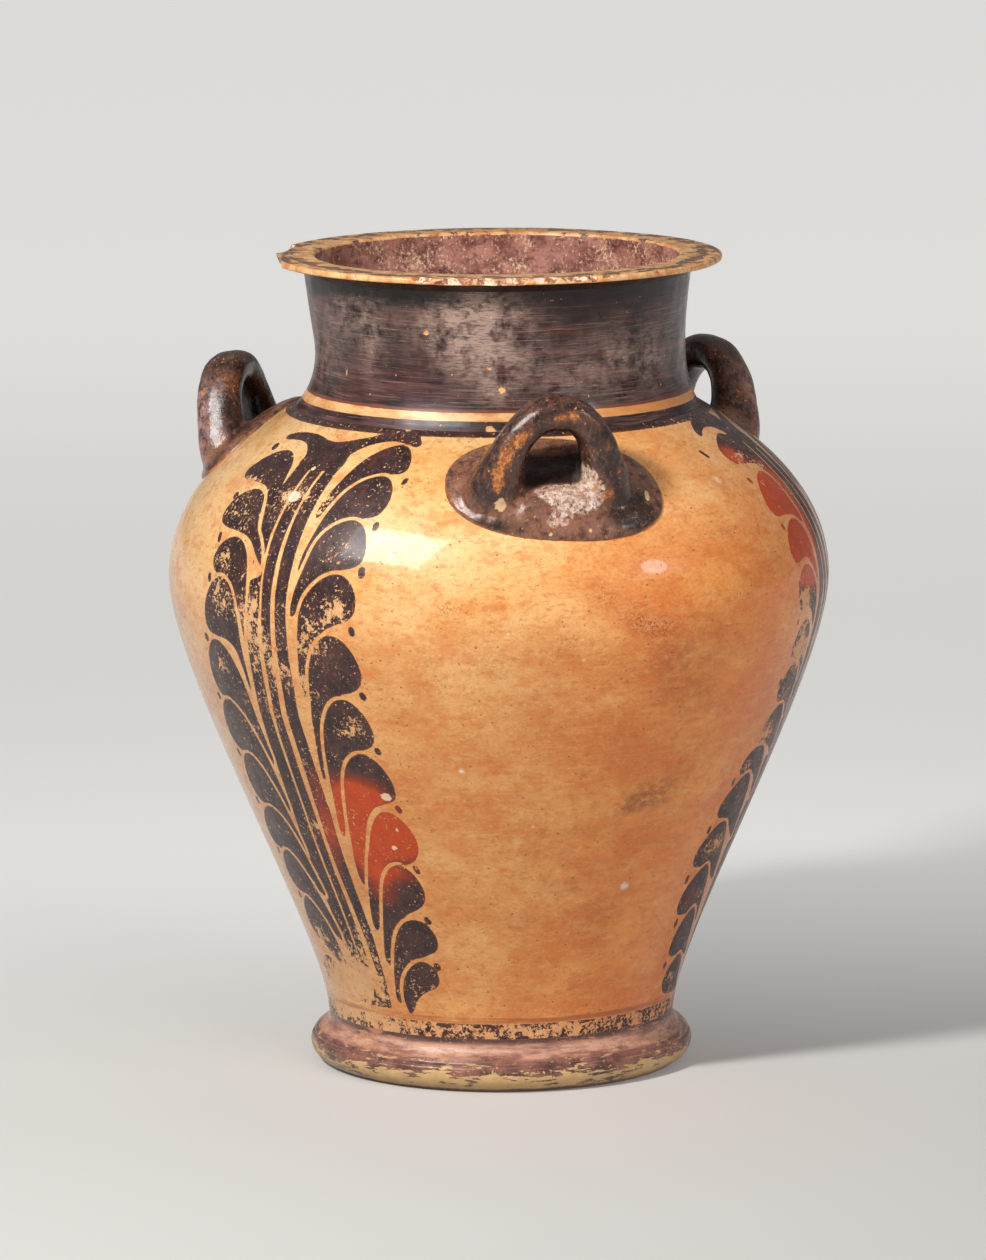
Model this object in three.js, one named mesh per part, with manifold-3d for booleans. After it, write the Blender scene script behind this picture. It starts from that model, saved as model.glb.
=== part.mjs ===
// A three-handled pithos of fired clay: foot, lower body, shoulder, neck and lip are thrown apart on the wheel
// and luted together, and each handle is a rolled coil whose two ends are bedded in a pad of clay.
// Millimetres, +Z up. The wheel axis is Z, the origin is the middle of the resting plane, one handle faces -Y.
import * as THREE from "three";
import { mergeVertices } from "three/addons/utils/BufferGeometryUtils.js";
import Module from "manifold-3d";

const wasm = await Module();
wasm.setup();

// Facets round the wheel axis: a multiple of three keeps them alike under the three handles.
const TURN_STEPS = 54;

// Heights of the thrown sections, from the resting plane up.
const FOOT_HEIGHT = 29;
const LOWER_BODY_HEIGHT = 243;
const SHOULDER_HEIGHT = 94;
const NECK_HEIGHT = 75;
const LIP_HEIGHT = 9;

// Outer radii, each at the level that its name says.
const WAIST_RADIUS = 96;
const BELLY_RADIUS = 182.3;
const SHOULDER_TOP_RADIUS = 113;
const NECK_BASE_RADIUS = 111.5;
const NECK_TOP_RADIUS = 106.5;
const LIP_RADIUS = 123.5;

// Walls of the thrown clay.
const BODY_WALL = 8;
const NECK_WALL = 6.5;
const FLOOR_THICKNESS = 11;
const FLOOR_FILLET = 16;

// Fullness of the curves: how far each end of a wall keeps its own direction, and how much it leans.
const WAIST_RUN = 44;
const WAIST_LEAN = 3.5;
const BELLY_RUN_BELOW = 52;
const BELLY_RUN_ABOVE = 42;
const SHOULDER_TOP_RUN = 44.5;
const SHOULDER_TOP_PITCH = THREE.MathUtils.degToRad(31);
const NECK_BASE_RUN = 14;
const NECK_BASE_LEAN = 10;
const NECK_TOP_RUN = 36;
const NECK_TOP_LEAN = 5;

// The foot: a torus roll, a cove above it, and a recess below the floor.
const ROLL_RADIUS = 106;
const ROLL_HALF_HEIGHT = 10.5;
const ROLL_DEPTH = 12;
const ROLL_TURN_BELOW = THREE.MathUtils.degToRad(64);
const ROLL_TURN_ABOVE = THREE.MathUtils.degToRad(66);
const COVE_DEPTH = 1.4;
const RESTING_RING_WIDTH = 14;
const RECESS_DEPTH = 16;
const RECESS_SHELF = 14;
const COLLAR_WALL = 2.5;
const COLLAR_TAPER = 3.5;

// The luted seams: a ridge at the belly, and a spigot that goes down into the shoulder.
const BELLY_RIDGE = 3;
const SPIGOT_DEPTH = 4;
const SPIGOT_WALL = 3;
const SPIGOT_SHOULDER = 10.5;

// The lip: a flat flange with a rounded edge over a hollow underside.
const LIP_EDGE_THICKNESS = 5;
const LIP_ROUNDING = 1.5;

// Handles: upright coils that stand a little outside the middle of their pads.
const HANDLE_COUNT = 3;
const HANDLE_OVERHANG = 12;
const HANDLE_RISE = 55;
const HAUNCH_DROP = 7.2;
const HAUNCH_HALF_SPAN = 17.3;
const KNEE_DROP = 22;
const KNEE_HALF_SPAN = 25.8;
const KNEE_INSET = 5;
const FOOT_HALF_SPAN = 39;
const FOOT_SINK = 7;
const COIL_HALF_WIDTH = 8.8;
const COIL_HALF_DEPTH = 10.2;
const COIL_SPREAD = 0.5;
const COIL_SIDES = 12;
const COIL_STEPS = 20;

// The pad of clay round the two ends of a handle, at a station between the neck seat (0) and the belly (1).
const PAD_STATION = 0.52;
const PAD_HALF_WIDTH = 59.5;
const PAD_HALF_DEPTH = 21;
const PAD_RISE = 6;
const PAD_EDGE = 1.6;
const PAD_SINK = 8;
const PAD_SIDES = 30;
const PAD_RINGS = 5;

// Clearance between clay pieces that meet on a curved face.
const LUTE_GAP = 0.3;

// Levels that follow from the heights.
const BELLY_LEVEL = FOOT_HEIGHT + LOWER_BODY_HEIGHT;
const NECK_SEAT_LEVEL = BELLY_LEVEL + SHOULDER_HEIGHT;
const LIP_SEAT_LEVEL = NECK_SEAT_LEVEL + NECK_HEIGHT;
const MOUTH_LEVEL = LIP_SEAT_LEVEL + LIP_HEIGHT;

// Where the handles stand, measured from the wheel axis.
const padRadius = THREE.MathUtils.lerp(SHOULDER_TOP_RADIUS, BELLY_RADIUS, PAD_STATION);
const handleRadius = padRadius + HANDLE_OVERHANG;

// A profile point is (radius, height).
const at = (radius, height) => new THREE.Vector2(radius, height);

const lowerCurve = new THREE.CubicBezierCurve(
  at(WAIST_RADIUS, FOOT_HEIGHT),
  at(WAIST_RADIUS + WAIST_LEAN, FOOT_HEIGHT + WAIST_RUN),
  at(BELLY_RADIUS, BELLY_LEVEL - BELLY_RUN_BELOW),
  at(BELLY_RADIUS, BELLY_LEVEL),
);

const shoulderCurve = new THREE.CubicBezierCurve(
  at(BELLY_RADIUS, BELLY_LEVEL),
  at(BELLY_RADIUS, BELLY_LEVEL + BELLY_RUN_ABOVE),
  at(
    SHOULDER_TOP_RADIUS + SHOULDER_TOP_RUN * Math.cos(SHOULDER_TOP_PITCH),
    NECK_SEAT_LEVEL - SHOULDER_TOP_RUN * Math.sin(SHOULDER_TOP_PITCH),
  ),
  at(SHOULDER_TOP_RADIUS, NECK_SEAT_LEVEL),
);

const neckCurve = new THREE.CubicBezierCurve(
  at(NECK_BASE_RADIUS, NECK_SEAT_LEVEL),
  at(NECK_BASE_RADIUS - NECK_BASE_LEAN, NECK_SEAT_LEVEL + NECK_BASE_RUN),
  at(NECK_TOP_RADIUS - NECK_TOP_LEAN, LIP_SEAT_LEVEL - NECK_TOP_RUN),
  at(NECK_TOP_RADIUS, LIP_SEAT_LEVEL),
);

// A curve moved along its normal, inwards for a wall and outwards for a negative distance.
function shifted(curve, steps, distance) {
  return Array.from({ length: steps + 1 }, (_, i) => {
    const along = curve.getTangent(i / steps);
    const point = curve.getPoint(i / steps);
    return at(point.x - distance * along.y, point.y + distance * along.x);
  });
}

// Where the shoulder's outer face lies at a distance from the axis, and the way that it faces there.
const shoulderSamples = Array.from({ length: 401 }, (_, i) => ({
  point: shoulderCurve.getPoint(i / 400),
  along: shoulderCurve.getTangent(i / 400),
}));
function shoulderAt(radius) {
  const inside = shoulderSamples.findIndex(({ point }) => point.x <= radius);
  const next = inside < 0 ? shoulderSamples.length - 1 : Math.max(1, inside);
  const [a, b] = [shoulderSamples[next - 1], shoulderSamples[next]];
  const share = (radius - a.point.x) / (b.point.x - a.point.x);
  const height = THREE.MathUtils.lerp(a.point.y, b.point.y, share);
  return { height, out: at(b.along.y, -b.along.x) };
}

// Turns a closed profile about the wheel axis.
function turned(profile) {
  const closed = [...profile, profile[0]];
  return new THREE.LatheGeometry(closed, TURN_STEPS).rotateX(Math.PI / 2);
}

function solidFrom(geometry) {
  const bare = geometry.clone();
  for (const name of Object.keys(bare.attributes)) {
    if (name !== "position") bare.deleteAttribute(name);
  }
  const merged = mergeVertices(bare, 1e-4);
  return new wasm.Manifold(
    new wasm.Mesh({
      numProp: 3,
      vertProperties: merged.attributes.position.array,
      triVerts: new Uint32Array(merged.index.array),
    }),
  );
}

function geometryFrom(solid) {
  const { vertProperties, triVerts } = solid.getMesh();
  const geometry = new THREE.BufferGeometry();
  geometry.setAttribute("position", new THREE.BufferAttribute(vertProperties, 3));
  geometry.setIndex(new THREE.BufferAttribute(triVerts, 1));
  geometry.computeVertexNormals();
  return geometry;
}

// Skins a row of rings, each with the same number of points, and closes both ends with a fan.
function lofted(rings) {
  const sides = rings[0].length;
  const points = rings.flat();
  const faces = [];
  for (let ring = 0; ring < rings.length - 1; ring++) {
    for (let side = 0; side < sides; side++) {
      const a = ring * sides + side;
      const b = ring * sides + ((side + 1) % sides);
      faces.push(a, b, b + sides, a, b + sides, a + sides);
    }
  }
  for (const end of [0, rings.length - 1]) {
    const middle = new THREE.Vector3();
    for (const point of rings[end]) middle.add(point);
    const centre = points.push(middle.divideScalar(sides)) - 1;
    for (let side = 0; side < sides; side++) {
      const a = end * sides + side;
      const b = end * sides + ((side + 1) % sides);
      faces.push(centre, end ? a : b, end ? b : a);
    }
  }
  const geometry = new THREE.BufferGeometry().setFromPoints(points);
  geometry.setIndex(faces);
  return geometry;
}

// Seams between the thrown pieces: both neighbours use these points, so that they meet face to face.
const seatLevel = RECESS_DEPTH;
const seatRadius = WAIST_RADIUS - COLLAR_WALL - COLLAR_TAPER;
const footSeam = [
  at(seatRadius - RECESS_SHELF, seatLevel),
  at(seatRadius, seatLevel),
  at(WAIST_RADIUS - COLLAR_WALL, FOOT_HEIGHT),
  at(WAIST_RADIUS, FOOT_HEIGHT),
];
const bellySeam = [
  at(BELLY_RADIUS, BELLY_LEVEL),
  at(BELLY_RADIUS - BODY_WALL / 2, BELLY_LEVEL + BELLY_RIDGE),
  at(BELLY_RADIUS - BODY_WALL, BELLY_LEVEL),
];
const spigotRadius = NECK_BASE_RADIUS - SPIGOT_SHOULDER;
const neckSeam = [
  at(NECK_BASE_RADIUS, NECK_SEAT_LEVEL),
  at(spigotRadius, NECK_SEAT_LEVEL),
  at(spigotRadius, NECK_SEAT_LEVEL - SPIGOT_DEPTH),
];
const mouthRadius = NECK_TOP_RADIUS - NECK_WALL;
const lipSeam = [
  at(NECK_TOP_RADIUS, LIP_SEAT_LEVEL),
  at(mouthRadius, LIP_SEAT_LEVEL),
];

function footGeometry() {
  const rollCentre = at(ROLL_RADIUS - ROLL_DEPTH, ROLL_HALF_HEIGHT);
  const roll = Array.from({ length: 7 }, (_, i) => {
    const turn = THREE.MathUtils.lerp(-ROLL_TURN_BELOW, ROLL_TURN_ABOVE, i / 6);
    return at(
      rollCentre.x + ROLL_DEPTH * Math.cos(turn),
      rollCentre.y + ROLL_HALF_HEIGHT * Math.sin(turn),
    );
  });
  const ringRadius = roll[0].x;
  const cove = new THREE.QuadraticBezierCurve(
    roll.at(-1),
    at(WAIST_RADIUS - COVE_DEPTH, (roll.at(-1).y + FOOT_HEIGHT) / 2),
    footSeam[3],
  ).getPoints(3);
  const inner = at(ringRadius - RESTING_RING_WIDTH, 0);
  return turned([
    inner,
    at(ringRadius - ROLL_HALF_HEIGHT / 10, 0),
    ...roll,
    ...cove.slice(1),
    footSeam[2],
    footSeam[1],
    footSeam[0],
  ]);
}

function lowerBodyGeometry() {
  const floor = seatLevel + FLOOR_THICKNESS;
  const inside = shifted(lowerCurve, 10, BODY_WALL).filter(
    (point) => point.y > floor + FLOOR_FILLET && point.y < BELLY_LEVEL,
  );
  const heel = inside[0];
  const fillet = new THREE.QuadraticBezierCurve(
    heel,
    at(WAIST_RADIUS - BODY_WALL, floor),
    at(WAIST_RADIUS - BODY_WALL - FLOOR_FILLET, floor),
  ).getPoints(3);
  return turned([
    at(0, seatLevel),
    ...footSeam.slice(0, 3),
    ...lowerCurve.getPoints(12),
    ...bellySeam.slice(1),
    ...inside.reverse(),
    ...fillet.slice(1),
    at(0, floor),
  ]);
}

function shoulderGeometry() {
  const inside = shifted(shoulderCurve, 6, BODY_WALL);
  return turned([
    ...bellySeam.toReversed(),
    ...shoulderCurve.getPoints(9).slice(1),
    neckSeam[0],
    neckSeam[1],
    neckSeam[2],
    ...inside.slice(1).reverse(),
  ]);
}

function neckGeometry() {
  const foot = at(spigotRadius - SPIGOT_WALL, NECK_SEAT_LEVEL - SPIGOT_DEPTH);
  const { v1, v2 } = neckCurve;
  const inside = new THREE.CubicBezierCurve(
    lipSeam[1],
    at(v2.x - NECK_WALL, v2.y),
    at(v1.x - NECK_WALL, v1.y),
    foot,
  );
  return turned([
    foot,
    neckSeam[2],
    neckSeam[1],
    ...neckCurve.getPoints(8),
    ...inside.getPoints(5).slice(0, -1),
  ]);
}

function lipGeometry() {
  const edgeLevel = MOUTH_LEVEL - LIP_EDGE_THICKNESS;
  const underside = new THREE.QuadraticBezierCurve(
    lipSeam[0],
    at(NECK_TOP_RADIUS + LIP_EDGE_THICKNESS, edgeLevel),
    at(LIP_RADIUS - LIP_ROUNDING, edgeLevel),
  ).getPoints(4);
  return turned([
    lipSeam[1],
    ...underside,
    at(LIP_RADIUS, edgeLevel + LIP_ROUNDING),
    at(LIP_RADIUS, MOUTH_LEVEL - LIP_ROUNDING),
    at(LIP_RADIUS - LIP_ROUNDING, MOUTH_LEVEL),
    at(mouthRadius + LIP_ROUNDING, MOUTH_LEVEL),
    at(mouthRadius, MOUTH_LEVEL - LIP_ROUNDING),
  ]);
}

// The space that the shoulder and neck take up, grown by the clearance: it trims whatever is luted onto them.
function vesselSolid() {
  const skin = shifted(shoulderCurve, 9, -LUTE_GAP);
  return solidFrom(
    turned([
      at(0, BELLY_LEVEL),
      ...skin,
      at(SHOULDER_TOP_RADIUS, MOUTH_LEVEL),
      at(0, MOUTH_LEVEL),
    ]),
  );
}

// A handle's coil: the arch stands upright, its feet curve in towards the pad and swell there.
function coilGeometry(growth) {
  const crown = shoulderAt(handleRadius).height + HANDLE_RISE;
  const sole = new THREE.Vector3(
    FOOT_HALF_SPAN,
    -Math.sqrt(padRadius ** 2 - FOOT_HALF_SPAN ** 2),
    shoulderAt(padRadius).height - FOOT_SINK,
  );
  const leg = [
    new THREE.Vector3(HAUNCH_HALF_SPAN, -handleRadius, crown - HAUNCH_DROP),
    new THREE.Vector3(KNEE_HALF_SPAN, KNEE_INSET - handleRadius, crown - KNEE_DROP),
    sole,
  ];
  const opposite = leg.map((point) => new THREE.Vector3(-point.x, point.y, point.z));
  const path = new THREE.CatmullRomCurve3([
    ...opposite.reverse(),
    new THREE.Vector3(0, -handleRadius, crown),
    ...leg,
  ]);
  const radial = new THREE.Vector3(0, -1, 0);
  const ring = (share) => {
    const centre = path.getPointAt(share);
    const along = path.getTangentAt(share);
    const across = radial.clone().cross(along).normalize();
    const deep = along.clone().cross(across);
    const spread = 1 + COIL_SPREAD * Math.abs(2 * share - 1) ** 3;
    return Array.from({ length: COIL_SIDES }, (_, side) => {
      const turn = (2 * Math.PI * side) / COIL_SIDES;
      const width = (COIL_HALF_WIDTH * spread + growth) * Math.cos(turn);
      const depth = (COIL_HALF_DEPTH * spread + growth) * Math.sin(turn);
      return centre.clone().addScaledVector(across, width).addScaledVector(deep, depth);
    });
  };
  return lofted(Array.from({ length: COIL_STEPS + 1 }, (_, i) => ring(i / COIL_STEPS)));
}

// A point above the shoulder, given by its offset along the handle, its distance from the axis and its height.
function overShoulder(side, radius, height) {
  const surface = shoulderAt(radius);
  const away = radius + height * surface.out.x;
  const turn = Math.asin(side / radius);
  return new THREE.Vector3(
    away * Math.sin(turn),
    -away * Math.cos(turn),
    surface.height + height * surface.out.y,
  );
}

// The pad: an oval mound that follows the shoulder, steep at its edge and gentle in the middle.
function padGeometry() {
  const ring = (share, height) =>
    Array.from({ length: PAD_SIDES }, (_, side) => {
      const turn = (2 * Math.PI * side) / PAD_SIDES;
      return overShoulder(
        share * PAD_HALF_WIDTH * Math.cos(turn),
        padRadius - share * PAD_HALF_DEPTH * Math.sin(turn),
        height,
      );
    });
  const mound = Array.from({ length: PAD_RINGS }, (_, i) => {
    const share = Math.sin((Math.PI / 2) * (1 - i / PAD_RINGS));
    return ring(share, PAD_EDGE + (PAD_RISE - PAD_EDGE) * (1 - share ** 2));
  });
  return lofted([ring(1, -PAD_SINK), ...mound]);
}

function clay(name, geometry, color, roughness) {
  const material = new THREE.MeshStandardMaterial({ color, roughness, metalness: 0 });
  const mesh = new THREE.Mesh(geometry, material);
  mesh.name = name;
  return mesh;
}

const pithos = new THREE.Group();
pithos.add(
  clay("foot", footGeometry(), 0x3a2820, 0.5),
  clay("lower_body", lowerBodyGeometry(), 0xb9763f, 0.42),
  clay("shoulder", shoulderGeometry(), 0xc9925a, 0.4),
  clay("neck", neckGeometry(), 0x3b2a26, 0.45),
  clay("lip", lipGeometry(), 0xb8723c, 0.5),
);

const vessel = vesselSolid();
const handle = geometryFrom(solidFrom(coilGeometry(0)).subtract(vessel));
const handleRoot = geometryFrom(
  solidFrom(padGeometry()).subtract(vessel).subtract(solidFrom(coilGeometry(LUTE_GAP))),
);
["front", "right", "left"].forEach((place, i) => {
  const station = new THREE.Group();
  station.rotation.z = (2 * Math.PI * i) / HANDLE_COUNT;
  station.add(
    clay(`handle_${place}`, handle.clone(), 0x4a2f22, 0.4),
    clay(`handle_root_${place}`, handleRoot.clone(), 0x3f2a24, 0.45),
  );
  pithos.add(station);
});

export default pithos;
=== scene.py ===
"""A painted storage jar with three upright handles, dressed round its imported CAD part.

Sizes are in millimetres until a mesh is written; the frame and the finished pieces are in metres.
An azimuth is measured round the wheel axis from -Y, where the front handle stands, towards +X.
On the wall, "across" runs round the jar and "up" runs along the outside from the waist above the foot.
"""

import math

import bmesh
import bpy
import numpy as np
from mathutils import Matrix, Vector, noise
from mathutils.geometry import interpolate_bezier


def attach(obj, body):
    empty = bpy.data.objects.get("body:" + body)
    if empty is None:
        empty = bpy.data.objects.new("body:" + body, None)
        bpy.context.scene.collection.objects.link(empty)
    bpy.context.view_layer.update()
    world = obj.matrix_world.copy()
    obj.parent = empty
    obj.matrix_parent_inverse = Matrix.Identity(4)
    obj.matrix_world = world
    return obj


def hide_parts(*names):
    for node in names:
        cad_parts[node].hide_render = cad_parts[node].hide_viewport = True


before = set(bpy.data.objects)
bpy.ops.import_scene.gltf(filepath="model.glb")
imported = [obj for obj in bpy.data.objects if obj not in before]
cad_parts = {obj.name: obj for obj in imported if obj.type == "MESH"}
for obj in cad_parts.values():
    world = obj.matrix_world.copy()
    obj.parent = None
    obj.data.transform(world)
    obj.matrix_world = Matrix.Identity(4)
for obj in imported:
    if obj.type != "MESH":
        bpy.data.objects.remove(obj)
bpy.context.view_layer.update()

MM = 0.001
# Where the edge of the paint is farther off than this, its distance no longer matters.
FAR = 9.0

# Levels and radii of the thrown jar, as in the CAD source.
FOOT_HEIGHT, BELLY_LEVEL, NECK_SEAT, LIP_SEAT, MOUTH_LEVEL = 29, 272, 366, 441, 450
WAIST_RADIUS, BELLY_RADIUS, SHOULDER_TOP = 96, 182.3, 113
NECK_BASE, NECK_TOP, LIP_RADIUS, MOUTH_RADIUS = 111.5, 106.5, 123.5, 100
BODY_WALL, SPIGOT_RADIUS, SPIGOT_LEVEL, SPIGOT_BORE = 8, 101, 362, 98
SHOULDER_PITCH, SHOULDER_PULL = math.radians(31), 44.5
SEAT_LEVEL, SEAT_RADIUS, FLOOR_LEVEL = 16, 76, 27
UNDER_LIP, RIM_ROUND = 446.2, 2.6
HANDLE_RADIUS, PAD_RADIUS, PAD_HALF_WIDTH = 161.04, 152.7, 60.5

# How the pieces seat in each other: foot and lower body, then lower body and shoulder.
FOOT_SEAT = [(93.5, FOOT_HEIGHT), (90, SEAT_LEVEL), (SEAT_RADIUS, SEAT_LEVEL)]
BELLY_SEAT = [(BELLY_RADIUS - BODY_WALL / 2, BELLY_LEVEL + 3), (BELLY_RADIUS - BODY_WALL, BELLY_LEVEL)]

# Painted levels.
COLLAR_BAND_LOW, COLLAR_BAND_HIGH, STRIPE_HIGH, FOOT_BAND_HIGH = 363.5, 371, 375.5, 37.5


# Sections

def evenly(points, step):
    """The same run of points, spaced about step mm apart."""
    p = np.array([tuple(q)[:2] for q in points], float)
    run = np.r_[0, np.cumsum(np.hypot(*np.diff(p, axis=0).T))]
    to = np.linspace(0, run[-1], max(2, int(round(run[-1] / step)) + 1))
    return [(float(np.interp(t, run, p[:, 0])), float(np.interp(t, run, p[:, 1]))) for t in to]


def bend(a, b, c, d, step):
    """A wall curve from a to d that leaves towards b and arrives from c."""
    knots = [Vector((r, z, 0)) for r, z in (a, b, c, d)]
    return evenly(interpolate_bezier(*knots, 400), step)


def sweep(a, b, c, step):
    """A curve from a to c, pulled towards b."""
    near_a, near_c = ((p[0] + (b[0] - p[0]) * 2 / 3, p[1] + (b[1] - p[1]) * 2 / 3) for p in (a, c))
    return bend(a, near_a, near_c, c, step)


def directions(points):
    """The unit direction of a run at each of its points."""
    along = np.gradient(np.array(points), axis=0)
    return along / np.hypot(*along.T)[:, None]


def shifted(points, distance):
    """The run moved towards the inside of the wall."""
    return [(float(r - distance * t[1]), float(z + distance * t[0]))
            for (r, z), t in zip(points, directions(points))]


def through(p0, p1, p2, p3, t):
    """A point of the smooth curve through four points, between the second and the third."""
    return 0.5 * (2 * p1 + (p2 - p0) * t + (2 * p0 - 5 * p1 + 4 * p2 - p3) * t ** 2
                  + (3 * p1 - p0 - 3 * p2 + p3) * t ** 3)


def lower_wall(step):
    """The outside from the waist to the belly."""
    belly = (BELLY_RADIUS, BELLY_LEVEL)
    return bend((WAIST_RADIUS, FOOT_HEIGHT), (99.5, 73), (BELLY_RADIUS, 220), belly, step)


def shoulder_wall(step):
    """The outside from the belly to the neck seat."""
    near_top = (SHOULDER_TOP + SHOULDER_PULL * math.cos(SHOULDER_PITCH),
                NECK_SEAT - SHOULDER_PULL * math.sin(SHOULDER_PITCH))
    return bend((BELLY_RADIUS, BELLY_LEVEL), (BELLY_RADIUS, 314), near_top, (SHOULDER_TOP, NECK_SEAT), step)


def neck_wall(step):
    """The outside from the neck's foot to the lip."""
    return bend((NECK_BASE, NECK_SEAT), (101.5, 380), (101.5, 405), (NECK_TOP, LIP_SEAT), step)


SHOULDER = np.array(shoulder_wall(0.5))
# The outer wall from the waist to the neck seat, and the distance up it from the waist.
WALL = np.array(lower_wall(0.5)[:-1] + shoulder_wall(0.5))
WALL_RUN = np.r_[0, np.cumsum(np.hypot(*np.diff(WALL, axis=0).T))]


def wall_at(run):
    """Radius and height of the outside, so far up the wall."""
    return float(np.interp(run, WALL_RUN, WALL[:, 0])), float(np.interp(run, WALL_RUN, WALL[:, 1]))


def level_at(radius):
    """Height of the shoulder's outside at a radius."""
    return float(np.interp(-radius, -SHOULDER[:, 0], SHOULDER[:, 1]))


def run_at(radius):
    """How far up the wall the shoulder has a radius."""
    return float(np.interp(-radius, -SHOULDER[:, 0], WALL_RUN[-len(SHOULDER):]))


def on_wall(across, up):
    """The point of the wall that lies so far across from the middle of the front and so far up, in mm."""
    radius, level = wall_at(up)
    return radius * math.sin(across / radius), -radius * math.cos(across / radius), level


def around(azimuth, middle, radius):
    """How far across from a middle azimuth points lie, the short way round, in mm."""
    return np.radians((azimuth - middle + 180) % 360 - 180) * radius


def step_up(values, low, high):
    """Rises evenly from 0 at low to 1 at high, or falls where low is above high."""
    return np.clip((values - low) / (high - low), 0, 1)


# Meshes

def finished(bm, name, sharp=0.7):
    """Closes the mesh of a piece, turns its faces outwards and hands over its object."""
    bmesh.ops.remove_doubles(bm, verts=bm.verts, dist=2e-6)
    bmesh.ops.dissolve_degenerate(bm, edges=bm.edges, dist=1e-7)
    bmesh.ops.recalc_face_normals(bm, faces=bm.faces)
    for face in bm.faces:
        face.smooth = True
    for edge in bm.edges:
        edge.smooth = len(edge.link_faces) < 2 or edge.calc_face_angle(0) < sharp
    mesh = bpy.data.meshes.new(name)
    bm.to_mesh(mesh)
    bm.free()
    piece = bpy.data.objects.new(name, mesh)
    bpy.context.scene.collection.objects.link(piece)
    return piece


def thrown(name, section, arcs, start=0.0):
    """Turns a closed section about the wheel axis, in arcs of (degrees, steps) from a starting azimuth."""
    whole = bmesh.new()
    turn = math.radians(start)
    for degrees, steps in arcs:
        stride = math.radians(degrees) / steps
        while steps:
            # A short arc at a time, since a spin slows down as its mesh grows.
            part = min(steps, 14)
            bm = bmesh.new()
            sine, cosine = math.sin(turn), math.cos(turn)
            verts = [bm.verts.new((r * MM * sine, -r * MM * cosine, z * MM)) for r, z in section]
            edges = [bm.edges.new((a, b)) for a, b in zip(verts, verts[1:] + verts[:1])]
            bmesh.ops.spin(bm, geom=verts + edges, cent=(0, 0, 0), axis=(0, 0, 1), dvec=(0, 0, 0),
                           angle=stride * part, steps=part, use_merge=False, use_normal_flip=False,
                           use_duplicate=False)
            arc = bpy.data.meshes.new("arc")
            bm.to_mesh(arc)
            bm.free()
            whole.from_mesh(arc)
            bpy.data.meshes.remove(arc)
            turn += stride * part
            steps -= part
    return finished(whole, name)


def points_of(piece):
    """The vertices of a piece in mm."""
    p = np.empty(len(piece.data.vertices) * 3, np.float32)
    piece.data.vertices.foreach_get("co", p)
    return p.reshape(-1, 3).astype(float) / MM


def move_points(piece, p):
    """Sets the vertices of a piece from mm."""
    piece.data.vertices.foreach_set("co", (p * MM).astype(np.float32).ravel())
    piece.data.update()


def round_of(p):
    """Radius and azimuth in degrees of points in mm."""
    return np.hypot(p[:, 0], p[:, 1]), np.degrees(np.arctan2(p[:, 0], -p[:, 1]))


def note(piece, name, values):
    """Writes one number per vertex, which the material reads by name."""
    layer = piece.data.attributes.new(name, "FLOAT", "POINT")
    layer.data.foreach_set("value", np.asarray(values, np.float32))


def lumps(p, size, seed):
    """Smooth unevenness between -1 and 1 over points in mm."""
    q = p / size + seed
    return np.array([noise.noise(Vector(v)) for v in q])


# Painted panels

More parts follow.
